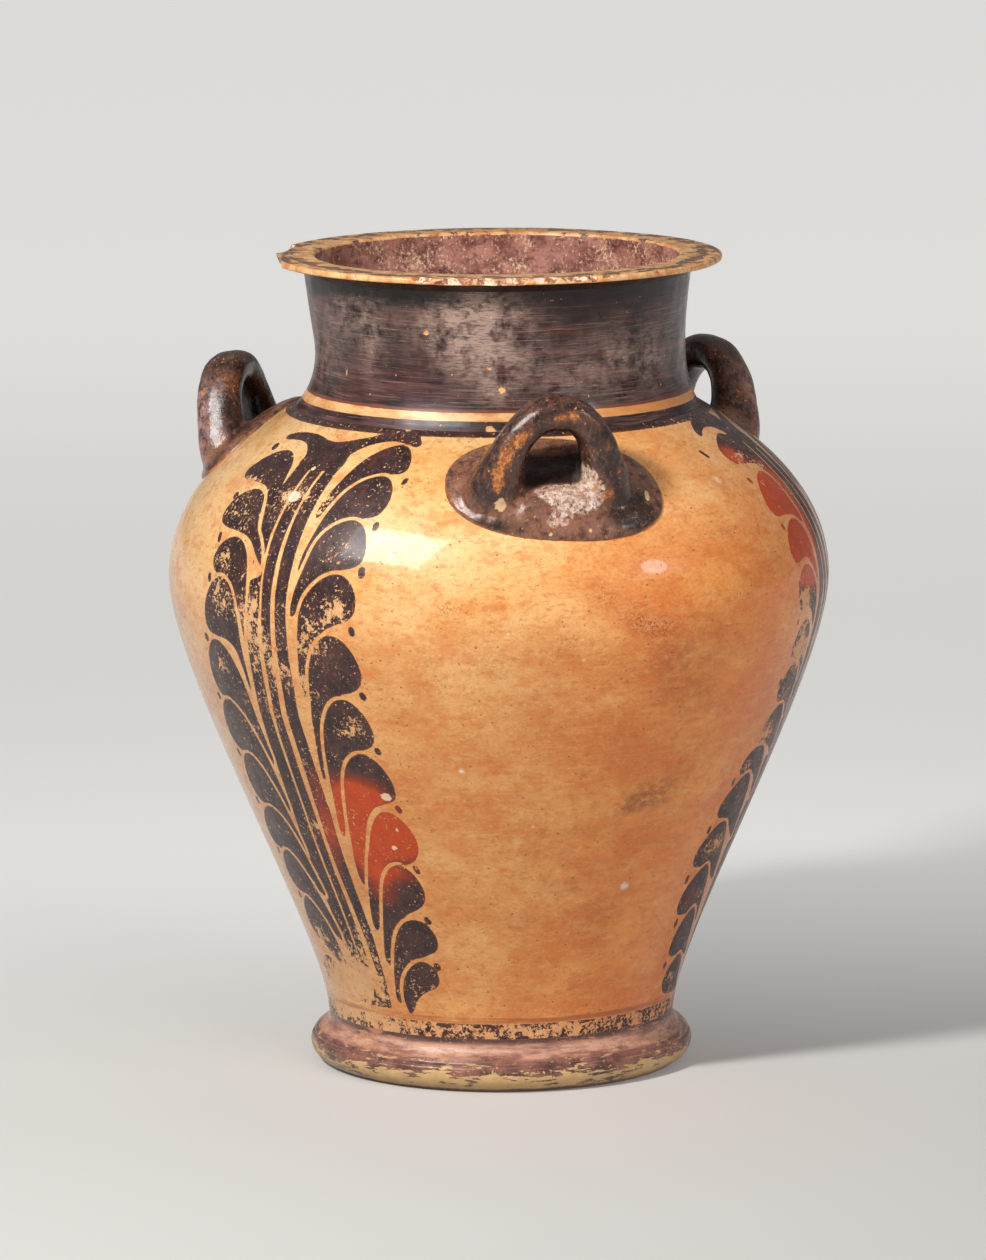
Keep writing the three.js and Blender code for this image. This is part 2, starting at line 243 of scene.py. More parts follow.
# Outlines of the leaves, (across, up) in mm, across from the middle line of the panel.
# The row that curls right.
FRONT_LEAVES = (
    ((34.8, 314), (33.4, 320), (34.4, 332), (36, 343), (38, 353), (41.5, 361), (46.5, 366.5), (52, 368.6),
     (58, 366.2), (63.5, 360.2), (67.6, 353), (68, 348), (64.5, 346), (57, 345.5), (48, 341), (42, 334),
     (39, 324), (37, 315)),
    ((36.2, 281.5), (36.4, 290), (38, 300), (39.3, 310), (41, 322), (43.6, 332), (47.6, 339), (52.6, 343),
     (58, 344.4), (63.5, 342.2), (68.7, 336.5), (72, 329.5), (72.8, 323), (70.6, 317.6), (64, 315.6),
     (55, 313), (47, 306), (42.5, 297), (40, 287), (38, 282)),
    ((34.6, 258.5), (34.6, 264), (36.5, 273), (39, 282), (40.7, 290), (42, 298), (45, 305.5), (50, 311),
     (56, 314), (62, 313.7), (68, 309.5), (72, 303), (74.4, 296), (73.8, 290), (69.5, 287), (62, 285),
     (54, 281), (47, 274), (41, 265), (37.6, 259.5)),
    ((33, 212), (33, 220), (35, 231), (37, 241), (38.8, 252), (40.4, 261), (43.4, 269), (48, 275.6),
     (54, 280.8), (61, 283.2), (67.3, 281.7), (72.3, 277), (75.2, 270.5), (75, 263.5), (71, 258.6),
     (64, 256), (56, 252), (49, 245), (43, 235), (38.5, 223), (35.2, 213.5)),
    ((28, 159), (28, 165), (29.6, 175), (32, 187), (34, 198), (36.5, 208), (38.6, 218), (41.2, 228),
     (45, 237), (50.5, 245), (57, 249.4), (63.3, 249), (69.2, 244.6), (73.2, 237), (74.4, 229),
     (72, 221.8), (66.5, 217.6), (58, 215), (50, 210), (43.5, 202), (38.5, 192), (34.5, 180), (31, 168),
     (29.3, 160)),
    ((27, 124.3), (26.4, 129), (28, 139), (30.2, 150), (32.2, 161), (34.3, 172), (37, 184), (40.4, 194.4),
     (44.6, 202.4), (49.6, 208.7), (55.4, 212.2), (61.3, 212.2), (66.3, 208), (70, 201), (71, 193),
     (69, 186.5), (63.5, 182.6), (56, 180.5), (49, 174.5), (43.5, 165), (39.5, 153), (35.5, 142),
     (31.5, 132), (28.6, 125.2)),
    ((28.5, 93.5), (27.6, 100), (28.8, 110), (31.2, 121), (33.6, 132), (36.3, 143), (39.2, 153.5),
     (42.4, 162.8), (46.4, 170.5), (51.2, 176), (57, 179.2), (62.7, 178.7), (67.8, 174), (71.2, 166),
     (71.9, 158), (69.5, 151.5), (63, 148.5), (55, 145), (48, 137), (42.6, 126), (38, 115), (33.6, 104),
     (30.2, 95)),
    ((25.7, 64.3), (25.2, 69), (26.8, 77), (29.2, 86), (31.8, 94), (34.8, 102), (38, 110.5), (42, 119),
     (46, 127.6), (50.5, 135.3), (55.2, 140.8), (60, 143.4), (65.5, 142), (70.2, 136.6), (72.8, 129),
     (72.4, 121), (69, 114.3), (63.5, 110.2), (55.5, 108), (48.5, 102.5), (42.5, 93), (37.5, 82),
     (32, 72), (27.8, 64.9)),
    ((26.6, 41.8), (25.4, 46), (27, 53), (29.5, 61), (32.2, 69.3), (35.3, 78), (38.8, 87.6), (42.2, 95.7),
     (46.3, 102.5), (51.3, 107.2), (57.2, 108.8), (62.3, 105), (65.2, 98), (65.4, 91), (62.6, 84.3),
     (57, 80), (49.5, 76), (43, 69), (37, 59), (31.6, 49), (28.2, 42.3)),
    ((26, 18.3), (24.7, 22), (26, 29), (28.3, 38), (31, 46), (33.6, 53), (37, 60), (41.4, 66.6),
     (47, 71.6), (53, 73.4), (58.3, 71.6), (61.7, 66), (62.2, 60), (59.4, 54), (53, 50.4), (46, 47),
     (39.5, 40), (34, 31), (30.5, 24), (28, 18.8)),
    ((31, 13), (29.7, 20), (30.8, 27), (33, 33), (36.3, 38), (40.4, 42.2), (45, 45.4), (50.3, 46),
     (54.2, 42.6), (55.5, 37), (53.6, 31.5), (49, 28.4), (44, 26), (39.5, 22.4), (36, 17.6), (33.4, 13.4)),
)
# The row that curls left.
BACK_LEAVES = (
    ((2, 306), (0, 318), (-2, 328), (-4.4, 338), (-7.3, 346), (-12.3, 352), (-19, 354.7), (-27, 353),
     (-34, 348.3), (-40, 342), (-43.8, 336), (-42, 331.3), (-35, 329.8), (-24, 330), (-14, 328),
     (-8, 322), (-4, 314), (0, 304)),
    ((9.2, 283.5), (7, 291), (3, 297), (-2, 302.3), (-5.2, 308.5), (-7.5, 315.5), (-10.3, 321.5),
     (-15, 325), (-21, 326), (-28, 323.7), (-34, 319.6), (-38.5, 314), (-40.3, 308), (-38, 302.8),
     (-31, 300.4), (-20, 299.6), (-10, 298), (-3, 294.5), (3, 288.5), (7.4, 284.2)),
    ((-3.4, 238), (-2.2, 246), (-0.4, 256), (0.4, 264), (0.2, 272), (-1, 280), (-3.6, 287), (-8, 292.6),
     (-14, 295.8), (-21, 296), (-28, 292.6), (-32.5, 287.6), (-34, 281.5), (-31, 276.3), (-24, 273.5),
     (-15, 269), (-8.5, 262), (-4.6, 254), (-3.6, 245)),
    ((-8.3, 209), (-7.4, 218), (-7.3, 230), (-7.2, 240), (-7, 248), (-7.8, 255.5), (-9.6, 262),
     (-13, 268), (-18, 272), (-24, 273.5), (-30, 271), (-34.6, 266), (-38, 260), (-40.2, 252), (-40, 245),
     (-36.5, 241), (-29, 239.8), (-20, 238.5), (-13.5, 234), (-10.8, 225), (-9.5, 214)),
    ((-9.3, 164.3), (-8.4, 170), (-9.4, 179), (-10.5, 189), (-11.4, 198), (-12.2, 206), (-13.5, 214.5),
     (-16, 222.5), (-20, 230), (-25.4, 235.2), (-31.4, 237.4), (-37.4, 236), (-42.8, 231), (-46.7, 223.5),
     (-48.2, 215), (-46.6, 206.8), (-41.5, 202), (-33, 199.5), (-25, 194), (-18.5, 184), (-13.5, 174),
     (-10.6, 165.5)),
    ((-9.8, 134), (-9.2, 141), (-10.3, 150), (-11.8, 159), (-13.8, 168), (-16.3, 176.6), (-20, 185.5),
     (-25, 193.4), (-31.4, 199), (-38.3, 200.8), (-45, 197.4), (-50, 190.5), (-52.1, 182), (-50, 173.6),
     (-44, 168.8), (-35, 167), (-27, 163), (-20, 154), (-14.6, 144), (-11.2, 135)),
    ((-9.4, 107), (-9.3, 114), (-10.8, 123), (-13, 133), (-15.6, 142.6), (-19, 151.6), (-23.4, 160),
     (-29, 165.7), (-35, 167.4), (-41, 165.4), (-46, 159.4), (-48.6, 151), (-47.6, 142.8), (-43, 137),
     (-35, 134.2), (-27, 130.5), (-20, 122), (-14.5, 112), (-11, 107.5)),
    ((-5.7, 81.3), (-6.6, 88), (-8.7, 97), (-11.2, 107), (-14.2, 116), (-18.2, 124.5), (-23.2, 130.4),
     (-29.7, 133.5), (-37, 133), (-44, 128.5), (-49, 121.8), (-50.3, 114), (-46.5, 108), (-39, 105.7),
     (-30, 104), (-22, 97.5), (-15, 88.5), (-9, 82.3)),
    ((-4.7, 53.3), (-5.4, 60), (-7.6, 68.5), (-10.8, 77.5), (-14.4, 86.5), (-18.8, 95), (-24.2, 102),
     (-30.4, 105.9), (-36, 105), (-41, 100.4), (-43.6, 94), (-43, 86.8), (-38.5, 81), (-30, 78),
     (-22, 71.5), (-14.5, 61), (-8, 54)),
    ((-3.7, 18.8), (-5.4, 26), (-7.8, 34), (-9.2, 42), (-10.8, 50.5), (-13.6, 59), (-18, 67.5),
     (-23.4, 74), (-29.2, 76.6), (-34.7, 73), (-38.6, 66), (-38.6, 57), (-34.5, 50.5), (-26, 46),
     (-18, 39), (-11.5, 29), (-6.8, 20.5)),
    ((-9, 13), (-12, 22), (-16, 30), (-21, 36), (-28, 39), (-35, 36.6), (-39.6, 31), (-39, 25),
     (-33, 21.4), (-24, 19), (-16, 15)),
)
# The same row on the panel to the right of the front handle, which was painted more closely.
CLOSE_LEAVES = (
    ((2, 330), (2.6, 345), (1.6, 355), (-1, 360.4), (-6, 362.3), (-13, 360.4), (-20, 356.4), (-25.5, 351),
     (-27, 345), (-24, 340), (-18, 338.5), (-10, 338), (-4, 334), (0, 328)),
    ((4, 296), (3, 310), (1, 322), (-2, 329), (-8, 331.5), (-15, 329.5), (-21.5, 324.5), (-26.5, 318),
     (-29.3, 311), (-28.5, 305.5), (-24, 303), (-16, 303), (-8, 301.5), (-2, 298)),
    ((5, 262), (4, 275), (2, 288), (-2, 296), (-8, 299.5), (-15, 299), (-22, 295), (-26.5, 289),
     (-28, 283), (-26, 277), (-22, 275.5), (-16, 277), (-8, 277), (-1, 270)),
    ((6, 236), (4, 250), (1, 262), (-4, 270), (-11, 273.5), (-18, 272), (-23, 267), (-25, 260),
     (-24, 253), (-20, 249), (-12, 250), (-4, 247), (2, 240)),
    ((7, 205), (5, 220), (2, 232), (-3, 240), (-10, 243), (-16, 240), (-20, 233), (-21, 226), (-17, 221),
     (-9, 219), (0, 214)),
    ((8, 183), (6, 197), (3, 207), (-2, 214), (-9, 217.5), (-16, 215.5), (-20.5, 209), (-21.5, 202),
     (-19, 197), (-13, 194), (-5, 192), (2, 187)),
    ((9, 160), (7, 172), (3, 183), (-3, 190.5), (-10, 193), (-17, 190), (-21.5, 184), (-23, 177),
     (-20, 171), (-11, 169), (0, 165)),
    ((7, 132), (5, 145), (1, 155), (-5, 163), (-12, 168), (-20, 168.5), (-27, 166), (-31, 160),
     (-30, 154), (-24, 151.5), (-15, 151), (-6, 148), (2, 138)),
    ((4, 108), (1, 120), (-3, 132), (-7, 142), (-12, 149), (-18, 152.3), (-25, 150), (-31, 144.5),
     (-35.5, 138), (-36, 131), (-32, 126.5), (-25, 125.5), (-17, 122), (-8, 115)),
    ((2, 82), (-2, 93), (-6, 103), (-11, 112), (-16, 119), (-22, 123), (-29, 122), (-35, 116.5),
     (-39, 109), (-39, 101), (-35, 96.5), (-29, 95.5), (-20, 93.5), (-10, 88)),
    ((3, 56), (-1, 65), (-5, 75), (-9, 84), (-14, 91), (-19.5, 95.5), (-26, 93.5), (-31.5, 87),
     (-34.5, 79), (-34, 71), (-30, 66), (-24, 65), (-14, 64), (-5, 60)),
    ((9, 34), (5, 42), (1, 50), (-3, 59), (-8, 65), (-13, 67.5), (-18, 64), (-22, 57), (-23.5, 49),
     (-22, 41), (-17, 37.5), (-8, 37.5), (2, 36)),
    ((16, 12), (11, 20), (6, 29), (0, 35), (-6, 37), (-12, 33), (-16, 27), (-16, 20), (-10, 14), (3, 12)),
)
# The collar that the leaves hang from: a horn on one side, an arm and a knob on the other.
COLLAR = (
    (-34.6, 363.6), (-32.4, 366), (-27, 368.3), (-19, 370), (-10, 370.2), (-3, 369), (4, 367),
    (11, 366.5), (18, 368.5), (25, 371.5), (30, 373.6), (34, 376.5), (38, 380), (53, 380), (56, 377),
    (59, 374), (62.3, 370), (61.4, 367.4), (58.5, 367.9), (55, 369.3), (50.5, 370.3), (46, 371),
    (41, 370.3), (35.5, 367.8), (31.5, 364.5), (28.5, 360.5), (26.8, 356.5), (28.4, 352.6), (27, 346),
    (12, 344), (-1.5, 346), (-2.6, 353), (-6, 358), (-10, 361.3), (-16, 363), (-24, 362.8), (-31, 361.7),
)
CLOSE_HORN = (
    (-26.6, 364), (-26, 368), (-20, 374), (-12, 378), (-4, 379.6), (6, 379.6), (14, 378), (20, 372),
    (18, 362), (10, 350), (6, 352), (3.4, 359), (0, 364.5), (-5, 368), (-12, 369), (-19, 367), (-24, 364),
)
# Dots between the heads of the leaves: across, up, half width, half length.
FRONT_DOTS = (
    (72.5, 341.5, 1.5, 2.6), (73.5, 311.5, 1.7, 2.8), (76, 285, 2, 3.3), (73.2, 253, 1.9, 2.8),
    (71.8, 215.6, 2, 2.6), (70, 182, 1.9, 2.5), (69.6, 145.5, 1.8, 2.7), (66.2, 106.7, 1.6, 2.9),
    (61, 73.5, 1.8, 2.7), (56.6, 43.7, 2, 2.5),
)
BACK_DOTS = (
    (-36, 355, 2.6, 2.9), (-37.5, 319, 2.3, 2.4), (-34, 294, 1.6, 3), (-35, 271.5, 1.7, 2.6),
    (-43, 237, 2.3, 2.6), (-48.5, 201, 2, 2.4), (-48.5, 165.5, 1.9, 2.6), (-48, 135, 1.9, 2.6),
    (-45.5, 103, 1.6, 2.2), (-38, 76, 1.6, 2.3),
)
CLOSE_DOTS = (
    (-42, 351, 1.4, 3.4), (-27, 327.5, 1.7, 2.2), (-25.6, 297, 1.5, 2.2), (-23.5, 263, 1.4, 3),
    (-22, 243, 1.6, 1.8), (-23, 208, 1.9, 2.2), (-33, 149, 1.6, 2.6), (-37, 120, 1.6, 2.8),
    (-36.7, 89, 1.5, 3), (-27.6, 60, 1.5, 3), (-21, 33, 1.5, 2.2),
)
# The stem, as rows of (up, left edge, right edge), and the lines that are left bare in it.
STEM = (
    (360, -3, 27), (350, -1.8, 28), (330, -2, 29), (312, -0.5, 30.5), (300, 0.5, 31.5), (285, 2.5, 32),
    (270, 2.5, 31.5), (250, 0.5, 31), (240, -1, 30), (230, -2.5, 29), (215, -4, 27.5), (200, -5.8, 25.2),
    (180, -6.8, 25), (160, -7, 24.5), (140, -7.4, 24), (125, -8, 22.5), (112, -9, 21.5), (90, -7.5, 21.2),
    (60, -5, 21.6), (40, -3, 20.6), (14, -1, 19.5),
)
BARE_LINES = (
    ((354, 9, 9.4), (348, 8.6, 10), (330, 8.6, 10.4), (312, 9.2, 10.8), (300, 9.5, 11.5), (285, 11, 12.6),
     (262, 12, 13.6), (250, 9.7, 12.5), (238, 8.2, 11), (225, 6.4, 9.8), (210, 4.8, 8), (200, 3.2, 5.9),
     (185, 2.8, 4.9), (160, 3, 4.6), (140, 2.8, 4.3), (120, 2.1, 3.7), (100, 2.4, 4), (80, 3.5, 5),
     (60, 4.3, 5.7), (46, 4.6, 5.5)),
    ((354, 18.8, 19.2), (348, 18, 20), (330, 18.5, 20), (315, 19.3, 21), (300, 20, 22.4),
     (280, 20.5, 23.5), (255, 20, 23.2), (240, 18.2, 21.8), (225, 16.6, 20), (210, 14, 18),
     (198, 12, 16.2), (180, 12, 16), (160, 11.5, 15.5), (140, 11.4, 14.4), (120, 10.4, 13.1),
     (100, 10, 13), (80, 11, 14.1), (60, 11.6, 15), (40, 11.5, 15.5), (20, 12, 15)),
    ((284, 3, 5.5), (281, 2.4, 10.8), (277.5, 2.2, 10.6), (275, 1, 3.2), (258, 0, 2.2), (240, -4, -0.6),
     (220, -7, -3.4), (200, -9, -5.8), (180, -10, -6.8), (150, -9.5, -7.2), (125, -9.4, -8),
     (115, -9.4, -8.6)),
)
# How far the closely painted panel leans across, at levels up the wall.
CLOSE_LEAN = ((20, 50, 100, 208, 272, 330), (20, 15, 11, 13, 6, 2))
# The width of the bare line that sets a leaf off from the one above it, and how far across a panel may reach.
OUTLINE = 2.1
PANEL_LEFT, PANEL_RIGHT = -70, 110

# Soft spots on a panel, (across, up, reach across, reach up, strength).
# Where the slip fired red, and where it flaked.
FIRED_RED = {
    "left": ((54, 153, 14, 11, 0.9), (43, 150, 8, 15, 0.8), (58, 127, 24, 17, 1.5),
        (38, 115, 10, 26, 0.9), (53, 102, 12, 6, 0.5), (32, 138, 6, 22, 0.8), (42, 90, 8, 9, 0.3),
        (18, 132, 7, 24, 0.6), (12, 112, 6, 22, 0.3), (54, 333, 2, 6, 0.35), (45, 353, 2, 6, 0.35),
        (61, 230, 3, 6, 0.3), (22, 160, 5, 12, 0.3)),
    "right": ((-20, 346, 10, 9, 1.0), (-14, 317, 20, 17, 1.6), (-15, 288, 20, 16, 1.6),
        (-12, 268, 16, 9, 1.1), (-8, 178, 8, 10, 0.4), (-24, 75, 9, 12, 0.35), (4, 300, 10, 40, 0.7)),
    "back": ((40, 210, 18, 22, 0.9), (-30, 120, 18, 18, 0.8), (8, 200, 10, 40, 0.4)),
}
FLAKED = {
    "left": ((-22, 26, 24, 16, 1.5), (4, 30, 18, 22, 1.2), (-18, 312, 22, 12, 0.55), (2, 255, 9, 22, 0.9),
        (12, 240, 16, 16, 0.65), (36, 325, 4, 12, 0.9), (10, 326, 14, 6, 1.0), (-30, 330, 14, 3, 0.9),
        (58, 266, 14, 8, 0.55), (44, 242, 10, 9, 0.9), (35, 217, 6, 14, 0.8), (4, 205, 8, 24, 0.55),
        (-24, 284, 9, 7, 0.9), (60, 199, 9, 6, 0.6), (8, 128, 12, 5, 0.9), (-30, 222, 10, 8, 0.6),
        (42, 26, 9, 7, 0.55), (14, 60, 6, 16, 0.6), (22, 222, 10, 12, 0.6), (-28, 52, 9, 8, 0.8),
        (-26, 262, 12, 10, 0.9), (-20, 190, 12, 12, 0.5), (60, 296, 10, 6, 0.6), (64, 262, 7, 6, 0.8),
        (50, 254, 8, 5, 0.8), (56, 192, 10, 4, 0.9), (20, 160, 8, 14, 0.4)),
    "right": ((-12, 345, 6, 5, 0.9), (-8, 334, 12, 4, 1.2), (-16, 252, 12, 10, 1.2),
        (-8, 226, 16, 12, 1.5), (-14, 196, 12, 7, 0.8), (-20, 176, 14, 7, 1.2), (-26, 158, 10, 6, 0.7),
        (-20, 108, 9, 9, 0.9), (-14, 78, 6, 6, 0.7), (-8, 24, 8, 5, 0.7), (-26, 146, 8, 4, 0.5)),
    "back": ((0, 60, 24, 30, 0.8), (-20, 250, 20, 20, 0.6), (40, 300, 20, 20, 0.5), (10, 160, 20, 30, 0.4)),
}
# White lumps that cling to the left panel, in the panel's own measure.
PANEL_SCARS = (
    (12, 325, 5, 4, 1.2), (65, 153, 3.4, 2.6, 1.4), (11, 345, 2, 2, 1.0), (58, 120, 3, 2.4, 0.9),
    (64, 132, 2, 2, 0.8),
)
# Each panel and the azimuth of its middle line.
PANELS = (("left", -60.0), ("right", 60.0), ("back", 180.0))

# Marks on the bare clay, (across from the middle of the front, up, reach across, reach up, strength).
SMUDGES = (
    (41.6, 143.4, 7, 5, 0.9), (50, 149, 12, 6, 0.8), (60, 157, 14, 7, 0.6), (62, 143, 16, 12, 0.45),
    (-15, 154, 22, 8, 0.3), (2.7, 96, 18, 9, 0.4), (-15, 74, 16, 8, 0.4), (6.7, 131, 20, 8, 0.35),
    (35, 78, 20, 10, 0.5), (72, 214, 30, 30, 0.35), (62, 236, 12, 10, 0.2), (17.4, 28.5, 2.6, 1.1, 1.1),
    (13, 26.6, 3.2, 1, 1.0), (80, 240, 22, 26, 0.35), (82, 168, 18, 24, 0.35), (-88, 205, 7, 9, 0.3),
    (-150, 60, 10, 8, 0.4), (230, 120, 26, 14, 0.5), (210, 300, 16, 10, 0.4), (-230, 200, 24, 16, 0.5),
    (-205, 330, 14, 8, 0.4), (250, 230, 16, 20, 0.35), (60, 36, 1.6, 2.4, 0.7), (28, 44, 1.2, 2, 0.6),
)
SCRATCHES = (
    (22, 272, 7, 5, 0.9), (37, 262.6, 5, 6, 1.1), (43.6, 257, 7, 3, 1.2), (49, 252, 7, 3, 1.2),
    (59.4, 254.5, 5, 6, 1.1), (-62.9, 267, 2, 4, 0.8), (-59, 276, 2, 6, 0.8), (25, 190.7, 1.5, 6, 0.7),
    (103.7, 301.6, 10, 3, 0.6), (-2.5, 244.5, 10, 8, 0.5), (-71, 221, 4, 9, 0.6), (55, 236, 6, 9, 0.6),
    (-40, 236, 16, 10, 0.35), (-20, 215, 14, 8, 0.35), (200, 260, 12, 6, 0.7), (-215, 270, 9, 7, 0.7),
    (240, 70, 10, 8, 0.5),
)
# Small chips in the bare clay, (across from the middle of the front, up, reach): the first two show white.
CHIPS = (
    (45.8, 92.7, 3.6), (-51.8, 171.7, 2.2), (-10.8, 136, 1.4), (105.3, 332.7, 3.4), (24.7, 140.2, 1.0),
    (-31, 254, 1.4), (10, 238.5, 1.3), (9, 250, 1.0), (215, 180, 2.6), (-240, 120, 2.4), (228, 320, 2.8),
    (160, 250, 1.6),
)
WHITE_CHIPS = 2


# In the functions below, x is across and s is up, both in mm.

def smooth_loop(points, steps=5):
    """A closed curve through the points."""
    p = np.array(points, float)
    knots = [np.roll(p, k, 0)[:, None, :] for k in (1, 0, -1, -2)]
    return through(*knots, (np.arange(steps) / steps)[None, :, None]).reshape(-1, 2)


def outline(x, s, points):
    """Distance in mm to a closed outline, negative inside it."""
    loop = smooth_loop(points)
    (x_low, s_low), (x_high, s_high) = loop.min(0) - FAR, loop.max(0) + FAR
    near = (x > x_low) & (x < x_high) & (s > s_low) & (s < s_high)
    px, ps = x[near], s[near]
    best = np.full(px.shape, FAR ** 2)
    inside = np.zeros(px.shape, bool)
    for (x0, s0), (x1, s1) in zip(loop, np.roll(loop, -1, 0)):
        dx, ds = x1 - x0, s1 - s0
        t = np.clip(((px - x0) * dx + (ps - s0) * ds) / max(dx * dx + ds * ds, 1e-9), 0, 1)
        best = np.minimum(best, (px - x0 - t * dx) ** 2 + (ps - s0 - t * ds) ** 2)
        if s0 != s1:
            inside ^= ((s0 > ps) != (s1 > ps)) & (px < x0 + (ps - s0) * dx / ds)
    away = np.full(x.shape, FAR)
    away[near] = np.where(inside, -np.sqrt(best), np.sqrt(best))
    return away


def ribbon(x, s, rows):
    """Distance, near its edges, to a ribbon that runs up the wall between two edges."""
    up, left_edge, right_edge = np.array(rows[::-1], float).T
    left, right = np.interp(s, up, left_edge), np.interp(s, up, right_edge)
    return np.maximum.reduce([left - x, x - right, s - up[-1], up[0] - s])


def dot(x, s, across, up, half_width, half_length):
    """Distance to a leaning dot."""
    reach = half_length - half_width
    lean = np.clip((s - up + 0.25 * (across - x)) / max(reach, 0.01), -1, 1) * reach
    return np.hypot(x - across + 0.25 * lean, s - up - lean) - half_width


def leafed(d, x, s, leaves):
    """Lays a row of leaves over what is painted, each set off by a bare line from the leaf above it."""
    for k, points in enumerate(leaves):
        leaf = outline(x, s, points)
        if k:
            d = np.maximum(d, np.maximum(OUTLINE - leaf, -FAR))
        d = np.minimum(d, leaf)
    return d


def painted_panel(x, s, close=False):
    """Distance in mm to the edge of the slip, negative under it."""
    # On the closely painted panel the stem and the far row lean outwards towards the foot.
    across = x - np.interp(s, *CLOSE_LEAN) if close else x
    d = ribbon(across, s, STEM)
    for rows in BARE_LINES[: 2 if close else 3]:
        d = np.maximum(d, -ribbon(across, s, rows))
    collar = outline(across, s, COLLAR)
    if close:
        collar = np.minimum(np.where(across > 12, collar, FAR), outline(x, s, CLOSE_HORN))
    d = np.minimum(d, collar)
    d = leafed(d, x, s, CLOSE_LEAVES if close else BACK_LEAVES)
    d = leafed(d, across, s, FRONT_LEAVES)
    for row in FRONT_DOTS:
        d = np.minimum(d, dot(across, s, *row))
    for row in CLOSE_DOTS if close else BACK_DOTS:
        d = np.minimum(d, dot(x, s, *row))
    return np.clip(d, -FAR, FAR)


def spots(x, s, rows):
    """The sum of soft spots, between 0 and 1.5."""
    total = np.zeros(x.shape)
    for across, up, reach_x, reach_s, strength in rows:
        total += strength * np.exp(-((x - across) / reach_x) ** 2 - ((s - up) / reach_s) ** 2)
    return np.clip(total, 0, 1.5)


def paint_wall(piece):
    """Notes on every vertex of the wall where the slip lies, where it fired red and where it flaked."""
    p = points_of(piece)
    level = p[:, 2]
    radius, azimuth = round_of(p)
    s = np.interp(level, WALL[:, 1], WALL_RUN)
    outside = np.interp(level, WALL[:, 1], WALL[:, 0])
    inside = (outside - radius > 2) | (level < FOOT_HEIGHT - 0.5)
    slip = np.full(len(p), FAR)
    red = np.zeros(len(p))
    # The slip flaked a little everywhere, and more just above the foot.
    flaked = np.full(len(p), 0.25)
    scars = np.zeros(len(p))
    for name, middle in PANELS:
        x = around(azimuth, middle, radius)
        near = (x > PANEL_LEFT) & (x < PANEL_RIGHT) & ~inside
        up = s
        if name == "back":
            # The panel at the back was drawn a little differently.
            x = x + 1.6 * np.sin(s / 31) + 1.2 * np.sin(s / 13 + 2)
            up = s + 2 * np.sin(s / 47 + 1)
        slip[near] = np.minimum(slip[near], painted_panel(x[near], up[near], close=name == "right"))
        red[near] += spots(x[near], s[near], FIRED_RED[name])
        flaked[near] += spots(x[near], s[near], FLAKED[name])
        if name == "left":
            scars[near] += spots(x[near], s[near], PANEL_SCARS)
    flaked += np.exp(-((s - 4) / 9) ** 2) * 0.9
    slip = np.minimum.reduce([slip, COLLAR_BAND_LOW - level, level - FOOT_BAND_HIGH])
    x = np.radians(azimuth) * radius
    note(piece, "smudged", spots(x, s, SMUDGES) * ~inside)
    note(piece, "scratched", spots(x, s, SCRATCHES) * ~inside)
    note(piece, "scarred", scars * ~inside)
    note(piece, "slip_edge", np.where(inside, FAR, slip))
    note(piece, "fired_red", red)
    note(piece, "flaked", flaked)
    note(piece, "inside", inside)


# Materials

